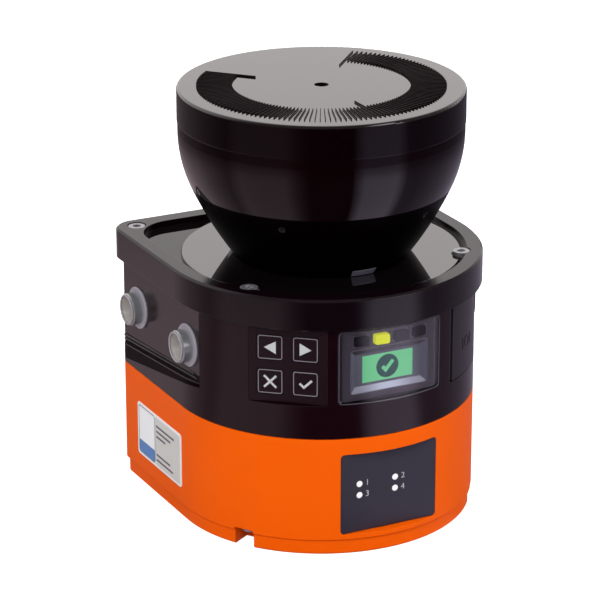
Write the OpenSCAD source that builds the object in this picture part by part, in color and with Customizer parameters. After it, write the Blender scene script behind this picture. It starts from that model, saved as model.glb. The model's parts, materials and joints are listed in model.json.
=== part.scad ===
// Safety laser scanner: round optics head on a D-shaped housing and base.
// Origin: underside of the base on the scan axis. Front is -Y, top is +Z.

/* [Plan outline] */
// Width of the top plate, the widest piece
plate_w = 112; // [108:0.5:118]
// Distance from the scan axis to the back of the top plate
plate_back = 55.1; // [53:0.1:60]
// Radius of the top plate's two rear corners
plate_corner_r = 8; // [6:0.5:12]
// How far the housing and base stand back from the top plate
body_inset = 2.5; // [2:0.1:3.5]
// Radius of the rear corners of the housing and base
body_corner_r = 5; // [4:0.5:8]

/* [Heights] */
// Height of the orange base
base_h = 42.5; // [38:0.5:50]
// Height of the black main housing
body_h = 39.7; // [39:0.1:45]
// Thickness of the top plate, rim included
plate_t = 11; // [10.5:0.1:13]
// Height of the top of the scan cap
total_h = 150.9; // [150:0.1:153]

/* [Walls] */
// Wall of the main housing
body_wall = 3.2; // [2.8:0.1:3.6]
// Deck that closes the top of the main housing
deck_t = 3.2; // [2.8:0.1:4]
// Wall of the base
base_wall = 3.2; // [2.8:0.1:3.6]
// Floor of the base
base_floor = 3; // [2.5:0.1:4]

/* [Base] */
// Height of the set-back foot of the base
foot_h = 5.3; // [4:0.1:6]
// How far the foot stands back
foot_inset = 0.8; // [0.4:0.1:1.2]
// Width of each screw notch in the foot
notch_w = 7.4; // [7:0.1:9]
// Height of each screw notch
notch_h = 6.6; // [6:0.1:8]
// Width of the flat status plate
status_w = 36.8; // [32:0.1:38]
// Lower edge of the status plate below the top of the base
status_z = 35.2; // [33.5:0.1:36]
// Height of the status plate
status_h = 29.5; // [26:0.5:31]
// Thickness of the status plate
status_t = 1; // [0.8:0.1:1.5]
// Radius of each status light pipe
status_pipe_r = 1.1; // [0.8:0.05:1.4]
// Sideways spacing of the status light pipes
status_pipe_x = 13.7; // [12:0.1:15]
// Height spacing of the status light pipes
status_pipe_z = 4.1; // [3:0.1:5]

/* [Screws] */
// Angle of the two front screws from the front
front_screw_angle = 57; // [57:0.5:58.5]
// Distance of each housing screw from the edge of the top plate
screw_edge = 7.5; // [7.2:0.1:7.8]
// Thread radius of the housing screws
screw_r = 1.5; // [1.25:0.05:1.5]
// Head radius of the housing screws
screw_head_r = 3; // [2.8:0.05:3.1]
// Head height of the housing screws
screw_head_h = 1.8; // [1.5:0.1:2]
// Depth of thread in a housing column
screw_grip = 10; // [8:0.5:12]
// Radius of the screw columns
column_r = 3.9; // [3.7:0.1:4]

/* [Rear mounting] */
// Tap radius of the rear mounting holes
rear_hole_r = 2.1; // [1.6:0.05:2.6]
// Depth of the rear mounting holes
rear_hole_depth = 7.5; // [6:0.1:9]
// Sideways spacing of the rear mounting holes
rear_spacing_x = 68; // [60:1:70]
// Height spacing of the rear mounting holes
rear_spacing_z = 22; // [18:1:24]

/* [Top plate] */
// Width of the rim around the sunk floor
rim_w = 5.6; // [5:0.1:6.2]
// Depth of the sunk floor below the rim
recess_depth = 2.4; // [2.2:0.1:2.8]
// Radius of the raised disc on the sunk floor
disc_seat_r = 48.5; // [47:0.1:49]
// Height of the raised disc
disc_seat_h = 1; // [0.8:0.1:1.3]
// Radius of the boss round each front screw
boss_r = 6; // [5:0.1:6.5]
// Corner radius at the rear of the sunk floor
recess_corner_r = 14; // [12:0.5:16]
// Thickness of the plate under the sunk floor
plate_floor_t = 3; // [2.5:0.1:3.6]
// Edge chamfer of the top plate
plate_chamfer = 0.7; // [0.4:0.1:1]

/* [Head] */
// Radius of the scan cap
cap_r = 49.4; // [48.5:0.1:50]
// Height of the scan cap
cap_h = 11.6; // [11:0.1:12]
// Thickness of the cap's top
cap_top_t = 2.2; // [2:0.1:2.4]
// Thickness of the cap's skirt
cap_skirt_t = 4; // [3.5:0.1:4.5]
// Edge radius of the cap
cap_edge_r = 1; // [0.5:0.1:1.8]
// Radius of the hole at the cap's centre
eye_r = 2.5; // [2:0.1:3.5]
// Depth of that hole
eye_depth = 1.2; // [0.4:0.1:1.4]
// Outer radius of the ring of scale ribs
rib_outer_r = 42.6; // [40:0.1:44]
// Inner radius of the ring of scale ribs
rib_inner_r = 30.4; // [28:0.1:33]
// Inner radius of the three long scale ribs
rib_long_r = 24; // [20:0.5:26]
// Thickness of a scale rib
rib_t = 0.25; // [0.15:0.05:0.5]
// Height of a scale rib above the cap
rib_h = 0.6; // [0.3:0.05:0.8]
// Scanned angle that the ribs mark
scan_angle = 275; // [240:1:280]
// Angle between two ribs
rib_pitch = 2.291667; // [2:0.1:3]
// Thickness of the scan window
window_t = 2; // [1.8:0.1:2.4]
// Radius of the arc of the window's wall
window_arc_r = 47.1; // [44:0.5:55]
// Lower edge of the scan window below the cap
window_low_z = 22.3; // [21.3:0.1:23.3]
// Height below the cap at which the window's wall turns inward
window_turn_z = 3.3; // [1.3:0.5:5.3]
// Radius of the funnel where it meets the sunk floor
neck_r = 30.2; // [29.6:0.1:31]
// Radius of the arc of the funnel's wall
funnel_arc_r = 130; // [120:1:150]
// Thickness of the funnel's wall
funnel_t = 2.6; // [2.4:0.1:2.8]
// Opening angle of the rear column
column_angle = 70; // [60:1:80]
// Thickness of the rear column
column_t = 5; // [4:0.5:6]

/* [Neck lights] */
// Height of each neck light window
neck_light_h = 2.3; // [1.8:0.1:3]
// Angle that each neck light window covers
neck_light_angle = 16; // [12:0.5:20]

/* [Network sockets] */
// Depth of the socket centres below the top plate
socket_z = 16; // [15.2:0.1:17.2]
// Depth position of the rear socket
socket_rear_y = 38.5; // [36:0.5:39]
// Spacing between the two sockets
socket_spacing = 41; // [38:0.5:41.5]
// Depth of the flat that carries the sockets
flat_depth = 1.2; // [1:0.1:1.3]
// Radius of a socket's flange
socket_flange_r = 7.8; // [7.4:0.1:8.2]
// Thickness of a socket's flange
socket_flange_t = 0.8; // [0.6:0.1:1.2]
// Outer radius of a socket's barrel
socket_r = 5.9; // [5.7:0.05:6.1]
// Bore radius of a socket
socket_bore_r = 4.8; // [4.6:0.05:4.9]
// Length of the barrel outside the flange
socket_out = 4.2; // [3.5:0.1:6]
// Depth of a socket's bore
socket_bore_l = 6; // [5:0.1:7]
// Length of the barrel inside the wall
socket_in = 6; // [5:0.1:7]

/* [Keypad] */
// Angle between the edges of the keypad and the display
keypad_angle = 3.92; // [2.6:0.02:4.6]
// Width of the square keypad plate
keypad_w = 27; // [26.6:0.1:27.4]
// Lower edge of the keypad plate below the top plate
keypad_z = 27.6; // [27.2:0.1:28.2]
// Thickness of the keypad plate
keypad_t = 1.2; // [1:0.1:1.4]
// Width of a key
key_w = 8.5; // [8:0.1:8.8]
// Sideways spacing of the keys
key_pitch = 12.1; // [11.5:0.1:12.4]
// Height spacing of the keys
key_row_pitch = 12.2; // [11.5:0.1:12.4]
// Travel of a key
key_travel = 0.4; // [0.2:0.05:0.4]
// Gap around a key
key_gap = 0.3; // [0.2:0.05:0.35]

/* [Display] */
// Width of the display window
display_w = 38.8; // [37:0.1:40]
// Lower edge of the display window below the top plate
display_z = 27.4; // [26.7:0.1:28.2]
// Height of the display window
display_h = 26.3; // [25.5:0.1:26.5]
// Corner radius of the display window
display_corner_r = 1.5; // [0.8:0.1:2.5]
// Thickness of the display window
display_t = 1.6; // [1.2:0.1:1.8]
// Depth of the screen's face behind the round front
screen_y = 5.5; // [5.3:0.1:5.9]
// Width of the screen
screen_w = 28.6; // [24:0.1:29]
// Height of the screen
screen_h = 15.3; // [12:0.1:15.6]
// Lower edge of the screen below the top plate
screen_z = 24.4; // [24:0.1:25.2]
// Width of an indicator light
light_w = 5.2; // [4.6:0.1:6.6]
// Height of an indicator light
light_h = 3.4; // [3:0.1:4.6]
// Depth of the indicator lights' centres below the top plate
light_z = 5.6; // [5.2:0.1:6]
// Angle between two indicator lights
light_pitch = 8.1; // [7.8:0.1:8.5]

/* [Port flap] */
// Angle from the display's edge to the flap's hinge pin
hinge_angle = 9.14; // [8.7:0.02:9.7]
// Angle that the flap covers from its hinge pin
flap_end_angle = 24; // [22.6:0.1:24.6]
// Thickness of the flap
flap_t = 2.2; // [2:0.1:2.4]
// Lower edge of the flap below the top plate
flap_z = 27.8; // [27.2:0.1:28.2]
// Height of the flap
flap_h = 26.8; // [26:0.1:27]
// Radius of the hinge pin
hinge_pin_r = 0.6; // [0.5:0.05:0.7]
// Radius of the flap's hinge knuckle
knuckle_r = 1.5; // [1.3:0.1:1.6]

/* [Optics] */
// Outer radius of the optics tube
tube_r = 26.5; // [26:0.1:26.7]
// Wall of the optics tube
tube_wall = 3; // [2.5:0.1:3.5]
// Radius of the rotating mirror
mirror_r = 13; // [11:0.5:14]
// Height of the scan plane above the window's lower edge
scan_z = 8; // [7:0.5:9]
// Radius of the laser tube
laser_r = 5; // [4:0.1:6]
// Radius of the motor shaft
shaft_r = 1.5; // [1.2:0.1:2]
// Outer radius of the motor bearings
bearing_r = 5; // [4.6:0.1:5.4]
// Height of one motor bearing
bearing_h = 3; // [2.6:0.1:3]

/* [Boards] */
// Thickness of the circuit boards
board_t = 1.6; // [1:0.1:2]
// Clearance between a board and the wall around it
board_gap = 4.8; // [4.5:0.1:6]

/* [Hidden] */
$fn = 96;
eps = 0.01;

// plan
plate_half = plate_w / 2;
body_half = plate_half - body_inset;
body_back = plate_back - body_inset + 0.4;
wall_in = body_half - body_wall;

// levels
body_z = base_h;
plate_z = body_z + body_h;
plate_top = plate_z + plate_t;
sunk_z = plate_top - recess_depth;
neck_z = sunk_z + disc_seat_h;
deck_z = plate_z - deck_t;
cap_z = total_h - cap_h;
cap_under = total_h - cap_top_t;
window_low = cap_z - window_low_z;
window_turn = cap_z - window_turn_z;
scan_mid = window_low + scan_z;
status_low = base_h - status_z;
socket_mid = plate_z - socket_z;
keypad_low = plate_z - keypad_z;
display_low = plate_z - display_z;
screen_low = plate_z - screen_z;
light_mid = plate_z - light_z;
flap_low = plate_z - flap_z;
screen_face = body_half - screen_y;

// directions of the panels from the front
display_turn = asin(display_w / 2 / body_half);
keypad_turn = display_turn + asin(keypad_w / 2 / body_half) + keypad_angle;
hinge_turn = display_turn + hinge_angle;
flap_end_turn = hinge_turn + flap_end_angle;

// screws
front_screw_at = plate_half - screw_edge;
rear_screw_x = plate_half - screw_edge - 0.4;
rear_screw_y = plate_back - screw_edge + 0.9;
screw_places = [
  for (side = [-1, 1]) [side * front_screw_at * sin(front_screw_angle),
    -front_screw_at * cos(front_screw_angle)],
  for (side = [-1, 1]) [side * rear_screw_x, rear_screw_y]
];
screw_hole_r = screw_r + 0.25;
hex_af = screw_head_r * 0.9;

// colours
c_black = [0.13, 0.11, 0.12];
c_gloss = [0.07, 0.06, 0.07];
c_orange = [0.92, 0.36, 0.02];
c_steel = [0.72, 0.73, 0.75];
c_board = [0.05, 0.33, 0.18];
c_gold = [0.83, 0.66, 0.25];

// ---------- shared shapes ----------

// Section of an edge with a chamfer below and above, out to x = w.
function edge_section(w, z0, z1, below, above) = concat(
  [[0, z0]],
  below > 0 ? [[w - below, z0], [w, z0 + below]] : [[w, z0]],
  above > 0 ? [[w, z1 - above], [w - above, z1]] : [[w, z1]],
  [[0, z1]]
);

// D-shaped slab: round front about the axis, straight sides, rounded rear corners.
module d_slab(w, back, corner, z0, z1, below = 0, above = 0) {
  section = edge_section(w, z0, z1, below, above);
  rotate([0, 0, 180]) rotate_extrude(angle = 180) polygon(section);
  translate([0, back - corner, 0]) rotate([90, 0, 0]) linear_extrude(back - corner) {
    polygon(section);
    mirror([1, 0]) polygon(section);
  }
  for (side = [-1, 1]) translate([side * (w - corner), back - corner, 0])
    rotate_extrude() polygon(edge_section(corner, z0, z1, below, above));
  translate([corner - w, 0, 0]) rotate([90, 0, 90]) linear_extrude(2 * (w - corner))
    polygon(edge_section(back, z0, z1, below, above));
}

module d_outline(w, back, corner) {
  intersection() {
    circle(r = w);
    translate([-w, -w]) square([2 * w, w + back - corner]);
  }
  translate([-w, 0]) square([2 * w, back - corner]);
  translate([corner - w, 0]) square([2 * (w - corner), back]);
  for (side = [-1, 1]) translate([side * (w - corner), back - corner]) circle(r = corner);
}

module d_prism(w, back, corner, z0, z1) {
  translate([0, 0, z0]) linear_extrude(z1 - z0) d_outline(w, back, corner);
}

module d_ring(w, back, corner, width, z0, z1) {
  translate([0, 0, z0]) linear_extrude(z1 - z0) difference() {
    d_outline(w, back, corner);
    d_outline(w - width, back - width, max(corner - width, 0.5));
  }
}

module tube(outer, inner, z0, z1) {
  translate([0, 0, z0]) difference() {
    cylinder(r = outer, h = z1 - z0);
    translate([0, 0, -1]) cylinder(r = inner, h = z1 - z0 + 2);
  }
}

// Turns the front (-Y) to a direction, positive to the right, and moves out along it.
// Inside, X runs sideways, Z up, and -Y points outwards.
module facing(angle) {
  rotate([0, 0, angle]) children();
}

// A rounded rectangle of width w and height h on the XZ plane, from y0 back to y1.
module face_block(w, h, corner, z, y0, y1) {
  translate([0, y1, z]) rotate([90, 0, 0]) linear_extrude(y1 - y0) {
    translate([-w / 2 + corner, 0]) square([w - 2 * corner, h]);
    translate([-w / 2, corner]) square([w, h - 2 * corner]);
    for (x = [corner - w / 2, w / 2 - corner], y = [corner, h - corner])
      translate([x, y]) circle(r = corner);
  }
}

// Cylinder along Y from y0 to y1 at (x, z).
module rod_y(r, x, z, y0, y1) {
  translate([x, y1, z]) rotate([90, 0, 0]) cylinder(r = r, h = y1 - y0);
}

// Cylinder along X from x0 to x1 at (y, z).
module rod_x(r, y, z, x0, x1) {
  translate([x0, y, z]) rotate([0, 90, 0]) cylinder(r = r, h = x1 - x0);
}

// Part of a round wall between two directions from the front.
module wall_arc(outer, inner, from, to, z, h) {
  translate([0, 0, z]) rotate([0, 0, from - 90])
    rotate_extrude(angle = to - from) translate([inner, 0]) square([outer - inner, h]);
}

// Screw pointing down from a flat head with a hexagon socket, top of the head at z = 0.
module screw_down(length) {
  difference() {
    union() {
      translate([0, 0, -screw_head_h]) cylinder(r = screw_head_r, h = screw_head_h);
      translate([0, 0, -length]) cylinder(r = screw_r, h = length);
    }
    translate([0, 0, -screw_head_h * 0.6]) cylinder(r = hex_af / sqrt(3), h = screw_head_h, $fn = 6);
  }
}

// ---------- base ----------

base_inner = body_half - base_wall;
board_half = base_inner - board_gap;
board_back = body_back - base_wall - board_gap;
base_board_drop = 20.5;
base_board_z = base_h - base_board_drop;
post_r = 3;
post_x = 36;
post_front_y = -18;
post_rear_y = 30;
post_places = [for (x = [-post_x, post_x], y = [post_front_y, post_rear_y]) [x, y]];
status_face = body_half * cos(asin(status_w / 2 / body_half));
status_pad_t = 4.5;
status_board_y = status_face - status_t - status_pad_t;
pipe_left = 11.2;
pipe_low = status_low + 13.5;
pipe_x = [-pipe_left, status_pipe_x - pipe_left];
pipe_z = [pipe_low, pipe_low + status_pipe_z];
power_x = 22;
power_z = base_board_z;
pin_r = 0.4;
pin_ring_r = 2.6;
pin_l = 3.5;
pin_count = 8;
insert_gap = 0.8;
inlet_out = 2;
inlet_room = 18;
inlet_depth = 15;
inlet_floor = body_back + inlet_out - socket_bore_l;
inlet_back = body_back - base_wall - socket_in;
status_board_w = 30;
status_board_h = 18;
seal_w = 1.2;
seal_h = 1;
seal_half = body_half - base_wall / 2 + seal_w / 2;
link_l = 34;
link_w = 6;
link_h = 12;
link_y = 20;
link_wall = 2;
link_gap = 0.2;
link_grip = 6;
label_t = 0.3;
label_y = 1.5;
label_l = 36.5;
label_drop = 30.9;
label_z = base_h - label_drop;
label_h = 19.9;

module screw_notches() {
  for (side = [-1, 1]) rotate([0, 0, side * front_screw_angle])
    translate([-notch_w / 2, -plate_half - 1, -1])
      cube([notch_w, plate_half + 1 - front_screw_at + notch_w / 2, notch_h + 1]);
  for (side = [-1, 1]) translate([side * rear_screw_x - notch_w / 2, rear_screw_y - notch_w / 2, -1])
    cube([notch_w, plate_back, notch_h + 1]);
}

module base_housing() {
  color(c_orange) difference() {
    union() {
      difference() {
        union() {
          d_slab(body_half, body_back, body_corner_r, foot_h, base_h, 0.4, 0.4);
          d_slab(body_half - foot_inset, body_back - foot_inset, body_corner_r, 0, foot_h + 1, 0.5, 0);
        }
        d_prism(base_inner, body_back - base_wall, body_corner_r - 2, base_floor, base_h + 1);
      }
      for (p = screw_places) translate([p[0], p[1], eps]) cylinder(r = column_r, h = base_h - eps);
      // walls around the screw notches
      intersection() {
        d_prism(body_half - foot_inset, body_back - foot_inset, body_corner_r, 1, notch_h + 2);
        for (p = screw_places) translate([p[0], p[1], 0]) cylinder(r = notch_w / 2 + 2, h = base_h);
      }
      for (p = post_places) translate([p[0], p[1], 1]) cylinder(r = post_r, h = base_board_z - 1);
      translate([-status_w / 2 - 1, -status_face + status_t, status_low - 2])
        cube([status_w + 2, status_pad_t, status_h + 4]);
    }
    screw_notches();
    for (p = screw_places) translate([p[0], p[1], -1]) cylinder(r = screw_hole_r, h = base_h + 2);
    // flat seat and opening behind the status plate
    face_block(status_w, status_h, 1.5, status_low, -plate_half, -status_face + status_t);
    for (x = pipe_x, z = pipe_z) rod_y(status_pipe_r, x, z, -plate_half, -status_face + 8);
    // power inlet
    rod_y(socket_r + 0.1, power_x, power_z, body_back - base_wall - 1, body_back + 1);
    d_ring(seal_half, body_back - base_wall / 2 + seal_w / 2, body_corner_r, seal_w, base_h - seal_h,
      base_h + 1);
  }
}

module base_board() {
  color(c_board) difference() {
    d_prism(board_half, board_back, 4, base_board_z, base_board_z + board_t);
    for (p = screw_places) translate([p[0], p[1], base_board_z - 1]) cylinder(r = column_r + 1, h = 4);
    // cut-outs at the status board and the power inlet
    translate([-status_w / 2 - 1.5, -plate_half, base_board_z - 1])
      cube([status_w + 3, plate_half - status_board_y + board_t + 1, 4]);
    translate([power_x - inlet_room / 2, body_back - inlet_depth, base_board_z - 1])
      cube([inlet_room, inlet_depth, 4]);
  }
}

module status_plate() {
  color([0.22, 0.21, 0.26]) difference() {
    face_block(status_w - 0.3, status_h - 0.3, 1.4, status_low + 0.15, -status_face,
      -status_face + status_t);
    for (x = pipe_x, z = pipe_z) rod_y(status_pipe_r, x, z, -plate_half, 0);
  }
}

module status_light_pipes() {
  color("white") for (x = pipe_x, z = pipe_z)
    rod_y(status_pipe_r, x, z, -status_face - 0.05, -status_board_y);
}

module status_board() {
  color(c_board) translate([-status_board_w / 2, -status_board_y, pipe_low - status_board_h / 4])
    cube([status_board_w, board_t, status_board_h]);
}

module base_seal() {
  color([0.1, 0.1, 0.1])
    d_ring(seal_half, body_back - base_wall / 2 + seal_w / 2, body_corner_r, seal_w, base_h - seal_h,
      base_h);
}

module base_screws() {
  color(c_steel) for (p = screw_places)
    translate([p[0], p[1], notch_h - screw_head_h]) mirror([0, 0, 1])
      screw_down(base_h + screw_grip - notch_h + screw_head_h);
}

module side_label() {
  color([0.85, 0.86, 0.87]) translate([-body_half - label_t, label_y, label_z])
    cube([label_t, label_l, label_h]);
}

// Round connector barrel along +Y from its flange, used by the power inlet.
module power_inlet_shell() {
  color(c_steel) difference() {
    union() {
      rod_y(socket_flange_r, power_x, power_z, body_back, body_back + socket_flange_t);
      rod_y(socket_r, power_x, power_z, inlet_back, body_back + inlet_out);
    }
    rod_y(socket_bore_r, power_x, power_z, inlet_floor, body_back + inlet_out + 1);
    rod_y(socket_bore_r - insert_gap, power_x, power_z, inlet_back - 1, inlet_floor + 1);
  }
}

module power_inlet_insert() {
  color([0.1, 0.1, 0.1]) rod_y(socket_bore_r - insert_gap, power_x, power_z, inlet_back, inlet_floor);
}

module power_inlet_pins() {
  color(c_gold) for (k = [1:pin_count]) let (a = k * 360 / pin_count)
    rod_y(pin_r, power_x + pin_ring_r * cos(a), power_z + pin_ring_r * sin(a), inlet_floor,
      inlet_floor + pin_l);
}

module link_header() {
  color([0.08, 0.08, 0.08]) translate([-link_l / 2, link_y, base_board_z + board_t])
    cube([link_l, link_w, link_h]);
}

module link_socket() {
  low_z = base_board_z + board_t + link_h - link_grip;
  color([0.08, 0.08, 0.08]) difference() {
    translate([-link_l / 2 - link_wall, link_y - link_wall, low_z])
      cube([link_l + 2 * link_wall, link_w + 2 * link_wall, main_board_z - low_z]);
    translate([-link_l / 2 - link_gap, link_y - link_gap, low_z - 1])
      cube([link_l + 2 * link_gap, link_w + 2 * link_gap, link_grip + 1.5]);
  }
}

// ---------- main housing ----------

main_board_z = body_z + 7;
main_board_back = body_back - rear_hole_depth - 3;
flat_x = -body_half + flat_depth;
flat_low_front = socket_mid - 11.5;
flat_low_rear = flat_low_front - 5.7;
contact_r = 0.75;
contact_ring_r = 2;
contact_places = [for (a = [45:90:315]) contact_ring_r * [cos(a), sin(a)]];
socket_nut_r = socket_flange_r + 0.6;
socket_nut_h = 2.5;
socket_places = [socket_rear_y, socket_rear_y - socket_spacing];
keypad_face = body_half * cos(asin(keypad_w / 2 / body_half));
keypad_back = keypad_face - keypad_t;
keypad_mid = keypad_low + keypad_w / 2;
key_seat = 0.3;
key_flange_t = 0.8;
key_flange_w = key_w + 2 * key_gap + 0.5;
key_stem_l = 0.6;
key_room = key_seat + key_flange_t + key_travel + 0.3;
key_cavity = 3;
switch_r = 2.5;
switch_gap = 0.05;
key_well_w = key_pitch + 2 * switch_r + 1;
key_well_h = key_row_pitch + 2 * switch_r + 1;
display_wall = 1.2;
screen_t = 2.2;
light_face_r = body_half - display_t - 0.3;
hinge_at = body_half - 1.9;
hinge_xy = [hinge_at * sin(hinge_turn), -hinge_at * cos(hinge_turn)];
hinge_gap_r = knuckle_r + 1.6;
port_angle = (hinge_turn + flap_end_turn) / 2 + 0.4;
port_floor = body_half - 9.5;
port_w = 20;
port_mid = flap_low + flap_h / 2;
port_shell_w = 8.4;
port_shell_h = 4.8;
port_shell_t = 0.5;
port_shell_out = 0.8;
port_shell_l = 5;
post_top_r = 3;
chassis_hole_r = 36;

// Wedge under the flat that carries the sockets.
module socket_flat() {
  difference() {
    translate([-plate_half - 5, -body_half, flat_low_rear - 2])
      cube([plate_half + 5 + flat_x, body_half + plate_back + 5, body_h]);
    // lower edge, rising towards the front
    translate([-plate_half - 6, 0, 0]) rotate([90, 0, 90]) linear_extrude(plate_half)
      polygon([
        [plate_back + 6, flat_low_rear - 3], [plate_back + 6, flat_low_rear - 0.6],
        [-6, flat_low_front], [-body_half - 1, flat_low_front + 4], [-body_half - 1, flat_low_rear - 3]
      ]);
  }
}

module main_housing() {
  color(c_black) difference() {
    union() {
      difference() {
        d_slab(body_half, body_back, body_corner_r, body_z, plate_z, 0.3, 0);
        d_prism(wall_in, body_back - body_wall, body_corner_r - 2, body_z - 1, deck_z);
      }
      for (p = screw_places, z = [body_z, plate_z - screw_grip - 1.5]) translate([p[0], p[1], z])
        cylinder(r = column_r, h = screw_grip + 1.5);
      for (p = post_places) translate([p[0], p[1], main_board_z + board_t])
        cylinder(r = post_top_r, h = deck_z - main_board_z - board_t + 1);
      // backing behind the keypad, the display and the port
      intersection() {
        d_prism(body_half - 0.5, body_back, body_corner_r, body_z, plate_z);
        union() {
          facing(-keypad_turn) translate([-keypad_w / 2 - 1.5, -plate_half, keypad_low - 2])
            cube([keypad_w + 3, plate_half - keypad_back + key_cavity, body_h]);
          translate([-display_w / 2 - 2, -plate_half, display_low - 2])
            cube([display_w + 4, plate_half - screen_face + screen_t, body_h]);
          facing(port_angle) translate([-port_w / 2 - 3, -plate_half, flap_low - 2])
            cube([port_w + 6, plate_half - port_floor + 3, body_h]);
        }
      }
      // blocks for the rear mounting holes
      for (x = [-1, 1]) translate([x * rear_spacing_x / 2 - 5, body_back - rear_hole_depth - 2, body_z + 4])
        cube([10, rear_hole_depth + 1, body_h - 5]);
    }
    translate([0, 0, deck_z - 1]) cylinder(r = chassis_hole_r, h = deck_t + 2);
    for (p = screw_places) {
      translate([p[0], p[1], body_z - 1]) cylinder(r = screw_r, h = screw_grip + 2);
      translate([p[0], p[1], plate_z - screw_grip - 1]) cylinder(r = screw_r, h = screw_grip + 2);
    }
    socket_flat();
    for (y = socket_places) {
      rod_x(socket_r + 0.1, y, socket_mid, -plate_half, -wall_in + 3);
      rod_x(socket_nut_r + 0.4, y, socket_mid, -wall_in, -wall_in + 6);
    }
    // keypad seat and the cavity behind it
    facing(-keypad_turn) {
      face_block(keypad_w, keypad_w, 0.8, keypad_low, -plate_half, -keypad_back);
      face_block(key_pitch + key_flange_w + 1, key_row_pitch + key_flange_w + 1, 0.8,
        keypad_mid - (key_row_pitch + key_flange_w + 1) / 2, -plate_half, -keypad_back + key_room);
      face_block(key_well_w, key_well_h, 0.8, keypad_mid - key_well_h / 2, -plate_half,
        -keypad_back + key_cavity + 1);
    }
    // display opening
    face_block(display_w, display_h, display_corner_r, display_low, -plate_half, -screen_face);
    face_block(screen_w + 2, screen_h + 2, 0.8, screen_low - 1, -plate_half, -screen_face + screen_t + 1);
    // flap seat, hinge gap and the port's recess
    translate([0, 0, flap_low - 0.3]) linear_extrude(flap_h + 0.6) {
      wall_plan(plate_half, body_half - flap_t - 0.4, hinge_turn - 1, flap_end_turn + 0.4);
      translate(hinge_xy) circle(r = hinge_gap_r);
    }
    translate([hinge_xy[0], hinge_xy[1], flap_low - 3]) cylinder(r = hinge_pin_r, h = flap_h + 6);
    facing(port_angle) face_block(port_w, flap_h - 3, 1, flap_low + 1.5, -plate_half, -port_floor);
    facing(port_angle)
      face_block(port_shell_w, port_shell_h, 0.5, port_mid - port_shell_h / 2, -plate_half,
        -port_floor + port_shell_l);
    facing(flap_end_turn + 1) translate([-1.5, -plate_half, flap_low + 0.6])
      cube([3, plate_half - body_half + 1.6, 3.2]);
    // rear mounting holes
    for (x = [-1, 1], z = [-1, 1])
      rod_y(rear_hole_r, x * rear_spacing_x / 2, rear_mid_z + z * rear_spacing_z / 2,
      body_back - rear_hole_depth, body_back + 1);
    d_ring(plate_seal_half, plate_seal_back, 6, seal_w, plate_z - seal_h, plate_z + 1);
  }
}

rear_mid_z = body_z + body_h / 2;
plate_seal_half = front_screw_at - screw_hole_r - 0.6;
plate_seal_back = rear_screw_y - 3;

module main_board() {
  color(c_board) difference() {
    d_prism(board_half, main_board_back, 4, main_board_z, main_board_z + board_t);
    for (p = screw_places) translate([p[0], p[1], main_board_z - 1]) cylinder(r = column_r + 1, h = 4);
  }
}

module socket_shell(y) {
  outer_x = flat_x - socket_flange_t - socket_out;
  color(c_steel) difference() {
    union() {
      rod_x(socket_flange_r, y, socket_mid, flat_x - socket_flange_t, flat_x);
      rod_x(socket_r, y, socket_mid, outer_x + 0.3, -wall_in + socket_in);
      rod_x(socket_r - 0.3, y, socket_mid, outer_x, outer_x + 1);
    }
    rod_x(socket_bore_r, y, socket_mid, outer_x - 1, outer_x + socket_bore_l);
    rod_x(socket_bore_r - insert_gap, y, socket_mid, outer_x, -wall_in + socket_in + 1);
  }
}

module socket_shell_rear() { socket_shell(socket_places[0]); }

module socket_shell_front() { socket_shell(socket_places[1]); }

module socket_nut() {
  difference() {
    cylinder(r = socket_nut_r, h = socket_nut_h, $fn = 6);
    translate([0, 0, -1]) cylinder(r = socket_r, h = socket_nut_h + 2);
  }
}

module socket_nuts() {
  color(c_steel) {
    for (y = socket_places) translate([-wall_in, y, socket_mid]) rotate([0, 90, 0]) socket_nut();
    translate([power_x, body_back - base_wall, power_z]) rotate([90, 0, 0]) socket_nut();
  }
}

module socket_inserts() {
  outer_x = flat_x - socket_flange_t - socket_out;
  color([0.12, 0.12, 0.12]) for (y = socket_places) difference() {
    rod_x(socket_bore_r - insert_gap, y, socket_mid, outer_x + socket_bore_l, -wall_in + socket_in);
    for (p = contact_places) rod_x(contact_r, y + p[0], socket_mid + p[1],
      outer_x + socket_bore_l - 1, -wall_in + socket_in + 1);
  }
}

module socket_contacts() {
  outer_x = flat_x - socket_flange_t - socket_out;
  color(c_gold) for (y = socket_places, p = contact_places)
    rod_x(contact_r, y + p[0], socket_mid + p[1], outer_x + socket_bore_l + 0.2, -wall_in + socket_in + 1);
}

// ---------- keypad ----------

key_rows = [keypad_mid + key_row_pitch / 2, keypad_mid - key_row_pitch / 2];
key_back_y = -keypad_back + key_seat + key_flange_t;

module keypad_plate() {
  color(c_gloss) facing(-keypad_turn) difference() {
    face_block(keypad_w - 0.2, keypad_w - 0.2, 0.8, keypad_low + 0.1, -keypad_face, -keypad_back);
    for (x = [-1, 1] * key_pitch / 2, z = key_rows) translate([x, 0, 0])
      face_block(key_w + 2 * key_gap, key_w + 2 * key_gap, 0.8, z - key_w / 2 - key_gap, -plate_half, 0);
  }
}

module key(x, z) {
  color(c_gloss) facing(-keypad_turn) translate([x, 0, 0]) {
    face_block(key_w, key_w, 0.6, z - key_w / 2, -keypad_face, key_back_y - key_flange_t + eps);
    face_block(key_flange_w, key_flange_w, 0.6, z - key_flange_w / 2, key_back_y - key_flange_t,
      key_back_y);
    rod_y(1.2, 0, z, key_back_y - eps, key_back_y + key_stem_l);
  }
}

module key_left() { key(-key_pitch / 2, key_rows[0]); }

module key_right() { key(key_pitch / 2, key_rows[0]); }

module key_cancel() { key(-key_pitch / 2, key_rows[1]); }

module key_confirm() { key(key_pitch / 2, key_rows[1]); }

module key_switches() {
  color(c_steel) facing(-keypad_turn) for (x = [-1, 1] * key_pitch / 2, z = key_rows)
    rod_y(switch_r, x, z, key_back_y + key_stem_l + key_travel + switch_gap, -keypad_back + key_cavity);
}

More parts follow.
